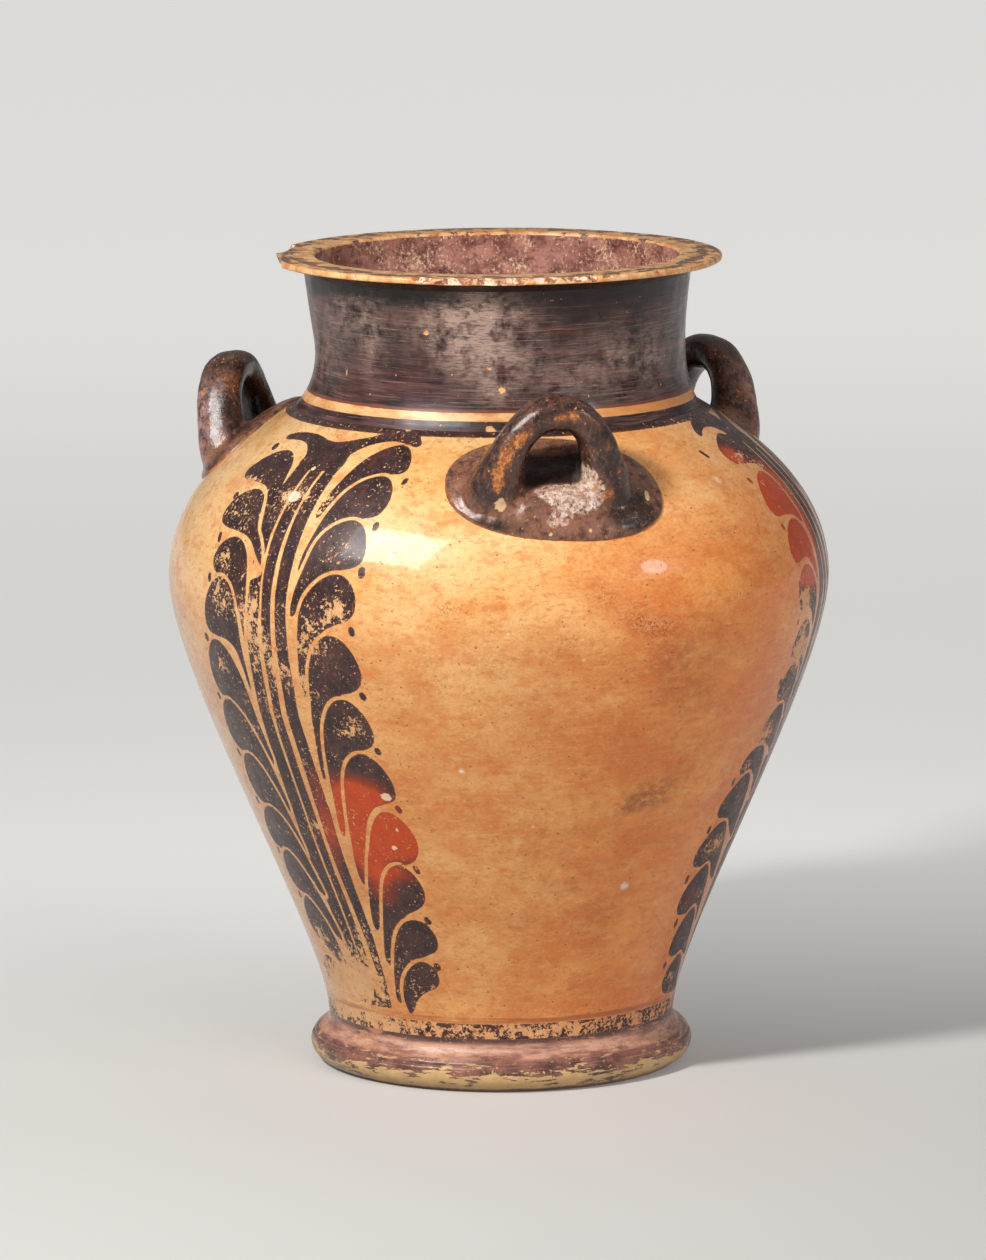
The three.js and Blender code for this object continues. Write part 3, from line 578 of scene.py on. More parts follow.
class Recipe:
    """The nodes of one material, one method for each kind of step. Sizes are in mm of the finished jar."""

    def __init__(self, name):
        self.material = bpy.data.materials.new(name)
        self.material.use_nodes = True
        self.tree = self.material.node_tree
        self.tree.nodes.clear()
        place = self.tree.nodes.new("ShaderNodeTexCoord")
        self.mm = self.vector("SCALE", place.outputs["Object"], scale=1 / MM)

    def put(self, socket, value):
        """Links a socket or sets its value."""
        if isinstance(value, bpy.types.NodeSocket):
            self.tree.links.new(value, socket)
        elif value is not None:
            socket.default_value = value if not (socket.type == "RGBA" and len(value) == 3) else (*value, 1)

    def node(self, kind, inputs=(), **settings):
        made = self.tree.nodes.new(kind)
        for key, value in settings.items():
            setattr(made, key, value)
        for key, value in dict(inputs).items():
            self.put(made.inputs[key], value)
        return made

    def calc(self, operation, a, b=None):
        return self.node("ShaderNodeMath", {0: a, 1: b}, operation=operation).outputs[0]

    def times(self, a, b):
        return self.calc("MULTIPLY", a, b)

    def plus(self, a, b):
        return self.calc("ADD", a, b)

    def most(self, a, b):
        return self.calc("MAXIMUM", a, b)

    def least(self, a, b):
        return self.calc("MINIMUM", a, b)

    def total(self, *rows):
        """The sum of patterns, each given as (pattern, strength)."""
        parts = [pattern if strength == 1 else self.times(pattern, strength) for pattern, strength in rows]
        whole = parts[0]
        for part in parts[1:]:
            whole = self.plus(whole, part)
        return whole

    def vector(self, operation, a, b=None, scale=None):
        made = self.node("ShaderNodeVectorMath", {0: a, 1: b}, operation=operation)
        if scale is not None:
            self.put(made.inputs["Scale"], scale)
        return made.outputs[0]

    def measure(self, operation, a, b):
        """A number from two vectors: their DOT_PRODUCT or DISTANCE."""
        return self.node("ShaderNodeVectorMath", {0: a, 1: b}, operation=operation).outputs["Value"]

    def note(self, name):
        """What the vertices of the piece say under this name."""
        return self.node("ShaderNodeAttribute", attribute_name=name).outputs["Fac"]

    def noise(self, place, detail, rough, distortion=0.0):
        made = self.node("ShaderNodeTexNoise", {"Vector": place, "Scale": 1.0, "Detail": detail,
                                                "Roughness": rough, "Distortion": distortion})
        return made.outputs["Fac"]

    def grain(self, size, detail=3.0, rough=0.55, stretch=(1, 1, 1), seed=0.0, distortion=0.0):
        """Noise about 0.5 whose features measure size mm, longer where stretch is above 1."""
        scaled = self.vector("MULTIPLY", self.mm, tuple(1 / (size * k) for k in stretch))
        moved = self.vector("ADD", scaled, (seed, seed * 1.7, seed * 0.6))
        return self.noise(moved, detail, rough, distortion)

    def ragged(self, strength, *form, **more):
        """Noise about 0, to fray an edge."""
        return self.times(self.calc("SUBTRACT", self.grain(*form, **more), 0.5), strength)

    def cells(self, size, seed=0.0):
        """Distance to scattered points about size mm apart, 0 at a point."""
        moved = self.vector("ADD", self.vector("SCALE", self.mm, scale=1 / size), (seed, seed, seed))
        return self.node("ShaderNodeTexVoronoi", {"Vector": moved, "Scale": 1.0}).outputs["Distance"]

    def fade(self, value, low, high, out_low=0.0, out_high=1.0):
        """Goes softly from out_low to out_high while the value goes from low to high."""
        made = self.node("ShaderNodeMapRange", {"Value": value, "From Min": low, "From Max": high,
                                                "To Min": out_low, "To Max": out_high},
                         interpolation_type="SMOOTHSTEP")
        return made.outputs["Result"]

    def sheen(self, size, seed, low, high):
        """A roughness that wanders from low to high over size mm."""
        return self.fade(self.grain(size, 4, seed=seed), 0.3, 0.7, low, high)

    def mix(self, share, a, b):
        made = self.tree.nodes.new("ShaderNodeMix")
        made.data_type = "RGBA"
        self.put(made.inputs[0], share)
        self.put(made.inputs[6], a)
        self.put(made.inputs[7], b)
        return made.outputs[2]

    def blend(self, pattern, low, high, a, b, most=1.0):
        """From a to b, or most of the way, while the pattern goes from low to high."""
        return self.mix(self.fade(pattern, low, high, 0.0, most), a, b)

    def layers(self, colour, *rows):
        """Lays tints over a colour, each a row of (pattern, low, high, most, tint)."""
        for pattern, low, high, most, tint in rows:
            colour = self.blend(pattern, low, high, colour, tint, most)
        return colour

    def side(self, azimuth, low, high, most):
        """Grows from 0 to most towards one side of the jar."""
        a = math.radians(azimuth)
        flat = self.vector("NORMALIZE", self.vector("MULTIPLY", self.mm, (1, 1, 0)))
        turned = self.measure("DOT_PRODUCT", flat, (math.sin(a), -math.cos(a), 0))
        return self.fade(turned, low, high, 0, most)

    def level(self):
        """Height above the floor in mm."""
        return self.node("ShaderNodeSeparateXYZ", {0: self.mm}).outputs["Z"]

    def finish(self, colour, roughness, height, depth, **shine):
        """Ends the recipe in a shader. The height pattern is depth mm high where it reaches 1."""
        bump = self.node("ShaderNodeBump", {"Height": height, "Strength": 1.0, "Distance": depth * MM})
        shader = self.node("ShaderNodeBsdfPrincipled", {"Base Color": colour, "Roughness": roughness,
                                                        "Normal": bump.outputs["Normal"]})
        for name, value in shine.items():
            self.put(shader.inputs[SHINE[name]], value)
        self.node("ShaderNodeOutputMaterial", {"Surface": shader.outputs[0]})
        return self.material


SHINE = {"coat": "Coat Weight", "coat_roughness": "Coat Roughness", "specular": "Specular IOR Level",
         "emission": "Emission Color", "emission_strength": "Emission Strength"}


def clay_ground(m):
    """Burnished orange clay with clouds, blotches and wheel marks, drawn paler up the shoulder as painted
    light.
    """
    level = m.level()
    cloud = m.grain(36, 4, 0.58, (1.3, 1.3, 0.8), seed=3)
    fine = m.grain(1.15, 5, 0.74, (1.7, 1.7, 1), seed=12)
    low = m.blend(cloud, 0.36, 0.66, (0.64, 0.230, 0.055), (0.76, 0.37, 0.120))
    high = m.blend(cloud, 0.34, 0.66, (0.76, 0.42, 0.140), (0.83, 0.54, 0.24))
    # Painted light: the clay is paler up the shoulder, which faces the lamps.
    colour = m.blend(level, 205, 340, low, high)
    # Painted shade: the right side is drawn more red and darker, where it turns from the key lamp. Painted
    # light: the far left is drawn paler.
    shade_red = m.blend(cloud, 0.36, 0.66, (0.76, 0.180, 0.026), (0.88, 0.29, 0.050))
    right = m.times(m.side(48, 0.52, 0.95, 0.85), m.fade(level, 345, 285, 0.45, 1.0))
    colour = m.mix(right, colour, shade_red)
    colour = m.mix(m.side(-84, 0.70, 1.0, 0.45), colour, (0.80, 0.52, 0.25))
    return m.layers(
        colour,
        (m.grain(7, 5, 0.68, (1.7, 1.7, 0.8), seed=13), 0.50, 0.68, 0.26, (0.86, 0.55, 0.24)),
        (fine, 0.50, 0.66, 0.42, (0.54, 0.17, 0.042)),
        (fine, 0.48, 0.36, 0.32, (0.88, 0.56, 0.26)),
        (m.grain(10, 6, 0.68, (1.35, 1.35, 0.9), seed=7), 0.48, 0.64, 0.45, (0.64, 0.165, 0.028)),
        (m.grain(3.4, 5, 0.72, (1.7, 1.7, 0.9), seed=9), 0.50, 0.66, 0.48, (0.50, 0.135, 0.030)),
        # Marks of the wheel.
        (m.grain(1.3, 4, 0.64, (26, 26, 1), seed=11), 0.54, 0.70, 0.18, (0.86, 0.52, 0.24)))


def chipped(m, colour):
    """Small frayed chips in the clay, and the larger ones with a redder ring round them."""
    fray = m.ragged(9.0, 1.3, 5, 0.76, seed=37)
    for k, (across, up, reach) in enumerate(CHIPS):
        away = m.measure("DISTANCE", m.mm, on_wall(across, up))
        frayed = m.plus(away, m.times(fray, min(1, reach / 3)))
        if reach > 2:
            colour = m.blend(away, reach * 3, reach, colour, (0.60, 0.17, 0.035), 0.4)
        chip = (0.84, 0.70, 0.58) if k < WHITE_CHIPS else (0.80, 0.52, 0.30)
        colour = m.blend(frayed, reach, reach * 0.2, colour, chip, 0.9)
    return colour


def clay_colour(m):
    """The clay with its speckles, smudges, pits, chips and scars, and where pits and scars are."""
    colour = clay_ground(m)
    speckle = m.times(m.fade(m.grain(1.0, 4, 0.66, (1.5, 1.5, 1), seed=21), 0.60, 0.67),
                      m.fade(m.grain(18, 3, seed=23), 0.40, 0.60))
    colour = m.mix(m.times(speckle, 0.6), colour, (0.27, 0.085, 0.032))
    smudge = m.times(m.note("smudged"), m.fade(m.grain(3.4, 6, 0.74, (1.5, 1.5, 1), seed=25), 0.30, 0.62))
    colour = m.blend(smudge, 0.02, 1.0, colour, (0.27, 0.070, 0.024), 0.75)
    scratch = m.times(m.note("scratched"), m.fade(m.grain(1.9, 5, 0.70, seed=27, distortion=1.6), 0.48, 0.56))
    colour = m.mix(m.least(scratch, 0.85), colour, (0.33, 0.055, 0.018))
    pits = m.times(m.fade(m.cells(4.4, 2.0), 0.15, 0.08), m.fade(m.grain(9, 3, seed=31), 0.46, 0.56))
    colour = m.mix(m.times(pits, 0.75), colour, (0.20, 0.065, 0.030))
    colour = chipped(m, colour)
    scar = m.fade(m.total((m.note("scarred"), 1), (m.grain(1.6, 4, 0.7, seed=35), 0.7)), 0.85, 1.0)
    return m.mix(scar, colour, (0.86, 0.70, 0.56)), pits, scar


def slip_colour(m):
    """Purple-brown slip, nearly black where it lies thick, with fine lines of the brush."""
    body = m.blend(m.grain(11, 5, 0.66, seed=41), 0.36, 0.66, (0.017, 0.009, 0.010), (0.060, 0.026, 0.022))
    body = m.blend(m.grain(0.9, 4, 0.76, seed=43), 0.50, 0.66, body, (0.125, 0.062, 0.058), 0.6)
    stroke = m.times(m.fade(m.grain(1.1, 4, 0.68, (1.6, 1.6, 9), seed=45, distortion=0.6), 0.56, 0.68),
                     m.fade(m.grain(14, 3, seed=47), 0.42, 0.58, 0, 0.9))
    return m.mix(stroke, body, (0.22, 0.065, 0.026))


def flakes(m, wear, seed=0.0):
    """Where the slip is gone: flecks everywhere, in drifts, and larger losses where it wore."""
    wear = m.plus(wear, m.ragged(1.7, 13, 4, 0.6, seed=49 + seed))
    fine = m.fade(m.total((m.grain(1.8, 5, 0.68, seed=51 + seed), 1), (wear, 0.11)), 0.655, 0.672)
    dots = m.total((m.cells(3.2, 5.0 + seed), 1), (m.grain(5, 4, 0.7, seed=53 + seed), 1.5), (wear, -0.17))
    broad = m.fade(m.total((m.grain(5, 6, 0.74, seed=57 + seed), 1), (wear, 0.19)), 0.715, 0.735)
    return m.most(m.most(fine, broad), m.fade(dots, 0.74, 0.69))


def painted_clay():
    """The clay of the body with the painted panels, from where the notes say that the slip lies."""
    m = Recipe("painted_clay")
    clay, pits, scar = clay_colour(m)
    gone = m.most(flakes(m, m.note("flaked")), scar)
    edge = m.note("slip_edge")
    under = m.fade(m.plus(edge, m.ragged(0.6, 1.5, 3, seed=61)), 0.12, -0.12)
    # Thin slip along the edges of a stroke, and slip that fired red.
    rim = m.times(m.fade(edge, -1.1, -0.3), m.fade(m.grain(9, 3, seed=62), 0.35, 0.6, 0.15, 0.7))
    slip = m.mix(rim, slip_colour(m), (0.15, 0.048, 0.028))
    heat = m.plus(m.note("fired_red"), m.ragged(0.55, 6, 4, 0.6, seed=67))
    slip = m.blend(heat, 0.12, 0.5, slip, (0.17, 0.028, 0.014))
    red = m.mix(m.grain(5, 3, seed=63), (0.40, 0.038, 0.008), (0.60, 0.082, 0.014))
    slip = m.blend(heat, 0.42, 0.95, slip, red)
    cover = m.times(under, m.calc("SUBTRACT", 1.0, gone))
    lost = m.times(under, gone)
    bared = m.mix(0.5, clay, m.mix(m.grain(4, 3, seed=69), (0.50, 0.21, 0.085), (0.84, 0.58, 0.34)))
    colour = m.mix(cover, m.mix(lost, clay, bared), slip)
    # A line of thinned slip under the foot of the painting.
    line = m.times(m.fade(m.level(), FOOT_BAND_HIGH + 0.1, FOOT_BAND_HIGH + 0.9),
                   m.fade(m.plus(m.level(), m.grain(8, 3, seed=70)), 42.0, 41.2))
    line = m.times(line, m.fade(m.grain(2.5, 4, 0.6, (20, 20, 1), seed=72), 0.35, 0.6, 0.1, 0.75))
    colour = m.mix(line, colour, (0.34, 0.09, 0.028))
    raw = m.mix(m.grain(14, 4, seed=71), (0.26, 0.10, 0.05), (0.42, 0.19, 0.10))
    colour = m.mix(m.note("inside"), colour, raw)
    rough = m.total((m.sheen(8, 73, 0.20, 0.34), 1), (m.note("inside"), 0.45), (lost, 0.3), (cover, 0.1))
    height = m.total((cover, 0.45), (m.grain(1.0, 4, seed=77), 0.30),
                     (m.grain(2.4, 3, 0.5, (24, 24, 1), seed=79), 0.6),
                     (m.grain(12, 3, 0.5, seed=81), 2.2), (pits, -1.4), (scar, 1.2))
    return m.finish(colour, rough, height, depth=0.12, coat=m.fade(cover, 0, 1, 0.42, 0.15),
                    coat_roughness=0.075, specular=0.35)


def neck_slip():
    """Slip on the neck: brush lines, a chalky film and painted sheen in front, painted shade under the lip, a
    bare stripe above its foot.
    """
    m = Recipe("neck_slip")
    level = m.level()
    lines = m.grain(0.9, 4, 0.7, (34, 34, 1), seed=201)
    slip = m.blend(m.grain(24, 4, 0.6, seed=205), 0.35, 0.65, (0.008, 0.004, 0.005), (0.050, 0.020, 0.018))
    slip = m.layers(
        slip,
        (m.grain(3.4, 3, 0.6, (16, 16, 1), seed=203), 0.44, 0.64, 0.7, (0.115, 0.048, 0.044)),
        (lines, 0.53, 0.66, 0.75, (0.22, 0.115, 0.10)),
        (m.grain(1.3, 4, 0.7, (20, 20, 1), seed=202), 0.52, 0.64, 0.7, (0.012, 0.007, 0.007)),
        (m.grain(0.7, 3, 0.6, (46, 46, 1), seed=207), 0.60, 0.74, 0.7, (0.30, 0.085, 0.04)),
        # Painted shade just under the lip, all round: the slip is drawn nearly black there.
        (m.total((level, 1), (m.grain(20, 4, seed=208), 16)), 433, 444, 0.85, (0.010, 0.006, 0.006)))
    # Painted shadow of the lip, cast on the left of the neck.
    lip_shadow = m.fade(m.plus(level, m.ragged(9, 9, 5, 0.7, (2, 2, 1), seed=206)), 430.5, 432.5, 0, 0.93)
    slip = m.mix(m.times(m.side(-43, 0.915, 0.945, 1.0), lip_shadow), slip, (0.005, 0.004, 0.004))
    # A pale chalky film, which right of the front is painted sheen.
    film = m.times(m.note("film_and_sheen"), m.fade(m.grain(11, 5, 0.68, seed=209), 0.34, 0.58))
    film = m.times(film, m.fade(m.grain(1.0, 4, 0.75, (5, 5, 1), seed=211), 0.32, 0.66, 0.25, 1.0))
    slip = m.mix(m.least(m.times(film, 0.85), 0.8), slip, (0.44, 0.305, 0.245))
    chip = m.fade(m.total((m.note("chipped"), 1), (m.grain(1.8, 5, 0.78, seed=213), 2.0)), 1.62, 1.72)
    gone = m.most(chip, flakes(m, -0.35, 3.0))
    patch = m.grain(5, 5, 0.7, (3, 3, 1), seed=215)
    clay = m.blend(patch, 0.36, 0.62, (0.60, 0.25, 0.080), (0.76, 0.45, 0.20))
    # Painted shade: the clay is drawn more red towards the right, away from the key lamp.
    clay = m.mix(m.side(60, 0.3, 0.9, 0.7), clay, (0.66, 0.24, 0.06))
    # The stripe's edges wander a little, and a line of thinner slip runs above it.
    h = m.plus(level, m.ragged(0.7, 2.5, 3, 0.55, (6, 6, 1), seed=217))
    bare = m.times(m.fade(h, COLLAR_BAND_HIGH - 0.2, COLLAR_BAND_HIGH + 0.2),
                   m.fade(h, STRIPE_HIGH + 0.2, STRIPE_HIGH - 0.2))
    line = m.times(m.fade(h, STRIPE_HIGH - 0.2, STRIPE_HIGH + 0.3),
                   m.fade(h, STRIPE_HIGH + 1.9, STRIPE_HIGH + 1.0))
    slip = m.mix(m.times(line, 0.75), slip, (0.22, 0.065, 0.035))
    cover = m.times(m.calc("SUBTRACT", 1.0, gone), m.calc("SUBTRACT", 1.0, bare))
    colour = m.mix(m.note("inside"), m.mix(cover, clay, slip), lining_colour(m))
    rough = m.total((m.sheen(9, 219, 0.26, 0.44), 1), (film, 0.2))
    height = m.total((cover, 0.5), (lines, 0.7), (m.grain(10, 3, 0.5, (2, 2, 1), seed=221), 2.0))
    return m.finish(colour, rough, height, depth=0.13, coat=0.2, coat_roughness=0.16, specular=0.35)


def lining_colour(m):
    """The mauve slip that lines the mouth, with pale losses and darker runs."""
    body = m.blend(m.grain(13, 4, 0.6, seed=231), 0.35, 0.65, (0.16, 0.052, 0.042), (0.42, 0.18, 0.135))
    fleck = m.total((m.grain(1.9, 6, 0.76, seed=235), 1), (m.grain(16, 4, seed=237), 0.42))
    lost = m.mix(m.grain(6, 3, seed=239), (0.62, 0.36, 0.20), (0.82, 0.64, 0.46))
    return m.layers(
        body,
        (m.grain(5, 6, 0.74, (1.6, 1.6, 1), seed=233), 0.50, 0.62, 0.8, (0.075, 0.028, 0.026)),
        (fleck, 0.68, 0.82, 0.6, (0.54, 0.28, 0.19)),
        (fleck, 0.80, 0.83, 0.9, lost))


def foot_slip():
    """Slip on the foot, rubbed to buff clay round the widest part of the roll and chalky in the cove."""
    m = Recipe("foot_slip")
    level = m.level()
    slip = m.blend(m.grain(12, 4, 0.6, seed=241), 0.35, 0.65, (0.085, 0.035, 0.031), (0.27, 0.110, 0.080))
    slip = m.blend(m.grain(1.0, 5, 0.7, (20, 20, 1), seed=243), 0.50, 0.66, slip, (0.34, 0.155, 0.110), 0.7)
    cove = m.times(m.fade(level, 17.5, 19.5), m.fade(level, 27.5, 24))
    chalk = m.times(cove, m.fade(m.grain(7, 5, 0.66, (3, 3, 0.6), seed=245), 0.36, 0.60, 0.1, 0.85))
    slip = m.mix(chalk, slip, (0.66, 0.36, 0.25))
    slip = m.blend(level, 25, 28, slip, (0.060, 0.026, 0.026), 0.7)
    # Losses follow the wheel: long shreds round the roll, most of them below its widest part.
    belt = m.times(m.fade(level, 0.8, 3.0), m.fade(level, 13.5, 8.0))
    shreds = m.total((m.grain(2.6, 5, 0.68, (4.5, 4.5, 0.9), seed=247), 1), (belt, 0.145))
    shreds = m.plus(shreds, m.ragged(0.35, 34, 2, seed=249))
    gone = m.most(m.fade(shreds, 0.585, 0.605), flakes(m, 0.35, 7.0))
    clay = m.mix(m.grain(6, 4, seed=251), (0.46, 0.24, 0.090), (0.76, 0.54, 0.26))
    clay = m.blend(level, 12, 20, clay, (0.48, 0.22, 0.12))
    clay = m.blend(level, 3.0, 1.2, clay, (0.38, 0.20, 0.085))
    colour = m.mix(gone, slip, clay)
    # Bare clay underneath.
    colour = m.blend(level, 1.6, 0.6, colour, (0.30, 0.15, 0.07))
    rough = m.total((m.sheen(6, 253, 0.24, 0.42), 1), (gone, 0.25), (chalk, 0.25))
    height = m.total((gone, -0.7), (m.grain(1.1, 4, 0.6, (8, 8, 1), seed=255), 0.8))
    return m.finish(colour, rough, height, depth=0.16, coat=0.25, coat_roughness=0.14)


def handle_slip():
    """Thick glossy slip on the handles, rubbed to orange clay where a hand would hold them."""
    m = Recipe("handle_slip")
    above = m.note("above")
    thick = m.note("thick")
    slip = m.blend(m.grain(7, 5, 0.68, seed=301), 0.36, 0.64, (0.020, 0.010, 0.009), (0.095, 0.040, 0.028))
    slip = m.blend(m.grain(1.8, 5, 0.72, (1, 1, 2.0), seed=303), 0.50, 0.66, slip, (0.21, 0.082, 0.040), 0.8)
    # Thinner on the pad and the feet; darkest where it ran together, and painted shade on the pad right of
    # the front arch.
    thinner = m.blend(m.grain(3, 5, 0.7, seed=306), 0.42, 0.60, (0.26, 0.115, 0.085), (0.30, 0.125, 0.050))
    low = m.times(m.fade(above, 13, 4), m.fade(m.grain(5, 5, 0.68, seed=305), 0.36, 0.56, 0.1, 0.85))
    slip = m.mix(low, slip, thinner)
    dark = m.times(thick, m.fade(m.grain(2.6, 5, 0.7, seed=308), 0.30, 0.52))
    slip = m.mix(m.least(dark, 0.9), slip, (0.014, 0.007, 0.006))
    rubbed = m.total((m.note("rubbed"), 0.26), (m.grain(3, 6, 0.80, (1, 1, 1.4), seed=307), 1), (thick, -0.2))
    slip = m.blend(rubbed, 0.58, 0.72, slip, (0.24, 0.075, 0.026), 0.8)
    gone = m.fade(m.total((rubbed, 1), (m.grain(1.3, 5, 0.76, seed=309), 0.6)), 1.005, 1.04)
    clay = m.blend(m.grain(2.2, 4, 0.7, seed=311), 0.38, 0.62, (0.27, 0.070, 0.018), (0.54, 0.21, 0.055))
    colour = m.mix(gone, slip, clay)
    # A chalky deposit in front of the arch.
    ash = m.times(m.note("chalky"), m.fade(m.grain(2.8, 6, 0.72, seed=313), 0.34, 0.56, 0.2, 1.0))
    pale = m.blend(m.grain(3.2, 5, 0.7, seed=315), 0.38, 0.60, (0.36, 0.20, 0.15), (0.74, 0.57, 0.46))
    pale = m.layers(
        pale,
        (m.grain(4, 5, 0.72, seed=316), 0.54, 0.60, 0.85, (0.52, 0.24, 0.09)),
        (m.grain(1.2, 4, 0.7, seed=314), 0.56, 0.62, 0.8, (0.15, 0.062, 0.040)))
    colour = m.blend(ash, 0.28, 0.5, colour, pale, 0.92)
    scar = m.fade(m.total((m.note("scarred"), 1), (m.grain(2.2, 5, 0.78, seed=317), 2.0)), 1.55, 1.66)
    bare = m.mix(m.grain(1.6, 4, 0.7, seed=318), (0.56, 0.30, 0.13), (0.76, 0.54, 0.34))
    colour = m.mix(scar, colour, bare)
    colour = m.mix(flakes(m, m.plus(m.times(thick, -0.6), 0.1), 11.0), colour, (0.56, 0.31, 0.15))
    # Painted shadow under the arch, drawn nearly black.
    colour = m.mix(m.times(m.note("hollow"), 0.92), colour, (0.008, 0.006, 0.006))
    rim = m.times(m.fade(above, 1.2, 0.6), m.fade(m.grain(9, 3, seed=319), 0.42, 0.58, 0.05, 0.85))
    colour = m.mix(rim, colour, (0.40, 0.125, 0.045))
    # Painted sheen: a thin mauve film drawn on the outer faces of the side handles.
    sheen_patch = m.times(m.note("painted_sheen"), m.fade(m.grain(5, 6, 0.74, seed=327), 0.36, 0.60, 0.1, 0.9))
    sheen_patch = m.times(sheen_patch, m.fade(m.grain(1.3, 4, 0.7, seed=329), 0.34, 0.56, 0.45, 1.0))
    mauve = m.blend(m.grain(3.4, 5, 0.72, seed=328), 0.46, 0.62, (0.44, 0.26, 0.24), (0.62, 0.30, 0.17))
    colour = m.mix(sheen_patch, colour, mauve)
    matt = m.most(m.most(gone, ash), m.times(sheen_patch, 0.5))
    rough = m.total((m.sheen(5, 321, 0.18, 0.38), 1), (matt, 0.3))
    height = m.total((gone, -0.8), (m.grain(1.4, 4, 0.6, seed=323), 0.7),
                     (m.grain(5, 3, 0.55, seed=325), 2.2))
    return m.finish(colour, rough, height, depth=0.18, coat=0.28, coat_roughness=0.12)


def lip_clay():
    """Rubbed clay on the lip, with shreds of dark slip that follow the rim, and the lining's slip inside."""
    m = Recipe("lip_clay")
    out = m.note("rim_out")
    clay = m.blend(m.grain(9, 4, 0.6, seed=5), 0.35, 0.65, (0.64, 0.245, 0.070), (0.86, 0.52, 0.23))
    clay = m.blend(m.grain(2.4, 4, 0.66, seed=9), 0.52, 0.70, clay, (0.36, 0.12, 0.045), 0.6)
    way = m.node("ShaderNodeCombineXYZ", {0: m.times(m.note("rim_way"), 0.075), 1: m.times(out, 0.13)})
    shred = m.plus(m.noise(way.outputs[0], 5.0, 0.66), m.fade(out, 6, 15, -0.06, 0.03))
    marks = m.fade(m.plus(shred, m.ragged(0.22, 1.8, 4, 0.65, seed=15)), 0.50, 0.525)
    marks = m.times(marks, m.fade(out, 22.6, 21.2))
    dark = m.mix(m.grain(6, 3, seed=17), (0.040, 0.028, 0.022), (0.15, 0.060, 0.045))
    colour = m.mix(m.times(marks, 0.88), clay, dark)
    lined = m.plus(m.note("inside"), m.ragged(1.6, 3, 5, 0.7, (3, 3, 1), seed=18))
    colour = m.blend(lined, 0.4, 0.6, colour, lining_colour(m))
    colour = m.mix(m.note("below"), colour, slip_colour(m))
    broken = m.fade(m.note("broken"), 0.25, 0.6)
    fresh = m.plus(m.grain(5, 3, seed=20), m.ragged(0.7, 1.4, 4, 0.7, seed=19))
    colour = m.mix(broken, colour, m.blend(fresh, 0.42, 0.58, (0.34, 0.115, 0.045), (0.84, 0.58, 0.40)))
    rough = m.total((m.sheen(5, 21, 0.30, 0.52), 1), (broken, 0.3))
    height = m.total((marks, 0.4), (m.grain(1.4, 4, seed=25), 1),
                     (m.times(broken, m.grain(2.2, 4, 0.6, seed=27)), 4.0))
    return m.finish(colour, rough, height, depth=0.18, coat=0.15, coat_roughness=0.2)


# Thrown pieces

# Soft spots on the neck, (across from the middle of the front, level, reach across, reach up, strength).
# A chalky film; the spots right of the front are painted sheen drawn as pale film.
NECK_FILM_AND_SHEEN = (
    (-42, 417, 22, 16, 1.2), (-20, 404, 22, 16, 0.9), (-28, 428, 26, 9, 0.9), (-27, 438, 13, 7, 1.2),
    (-22, 386, 9, 7, 0.7), (20, 392, 20, 10, 0.4), (56, 402, 30, 18, 0.75), (80, 396, 12, 16, 0.4),
    (-112, 425, 26, 14, 0.6), (-150, 400, 30, 20, 0.5), (-96, 410, 9, 20, 0.5), (160, 410, 40, 20, 0.7),
    (240, 400, 40, 18, 0.6), (-230, 415, 36, 16, 0.7),
)
NECK_CHIPS = (
    (-18.5, 387.5, 2.4, 2.2, 1.4), (-60, 418, 1.7, 2, 1.3), (-90, 374.5, 1.7, 1.4, 1.2),
    (-82, 373.2, 2.4, 1.6, 1.3), (-40, 372.6, 2.6, 1.4, 1.2), (-26, 366.5, 3.4, 2.8, 1.2),
    (-118, 392, 1.2, 2.4, 1.1), (-25, 399, 1.6, 1.2, 1.0), (30, 383, 1, 1, 1.1), (85, 384, 1.2, 1, 1.1),
    (140, 395, 2.4, 2, 1.3), (220, 380, 2, 2, 1.3), (-200, 398, 2.6, 2, 1.3),
)
# Chips scooped out of the rim, (azimuth, level, half length, half height, depth).
RIM_CHIPS = (
    (-30.5, 452, 7, 5, 3.2), (-25, 446.5, 4.5, 2.6, 2.2), (-21, 451.5, 9.5, 6.4, 5.6),
    (-14.5, 450, 5, 6.5, 4.6), (-11, 446, 5, 3, 2.4), (-6.5, 452, 8, 5.4, 4.4), (0, 449.5, 6.5, 2.6, 3.0),
    (2.5, 452, 4, 5, 4.6), (8.5, 450.5, 8.5, 3.4, 3.4), (13.5, 452.5, 3.5, 6, 4.2),
    (17.5, 450.6, 5, 2.2, 1.6), (33, 450.4, 3, 2.4, 1.2), (-50, 450.6, 3, 2.2, 1.0),
    (64, 450.2, 3.4, 2.4, 1.4), (118, 450, 6, 5, 2.6), (124, 448, 5, 4, 2.0), (152, 450.4, 5, 3, 1.8),
    (-150, 449, 8, 6, 3.0), (-143, 451, 5, 4, 2.4), (-128, 450.4, 3, 3, 1.4), (196, 449.6, 8, 5, 2.6),
    (204, 451, 5, 4, 2.0),
)
# Pieces broken right off it, (azimuth, half length, depth).
RIM_BREAKS = (
    (-112.5, 22, 8.0), (-95, 24, 3.2),
)


def fine_and_coarse(spans):
    """Arcs for pairs of (panel, gap after it) in degrees: fine steps on the panels, coarse between."""
    arcs = []
    for width, gap in spans:
        arcs.append((width, int(round(width / 0.38))))
        arcs.append((gap, int(round(gap / 2.5))))
    return arcs


# The left panel's left edge, where the fine arcs start.
PANEL_START = -60 - 24.5
PANEL_ARCS = fine_and_coarse(((59.5, 60.5), (65.5, 54.5), (59.5, 60.5)))


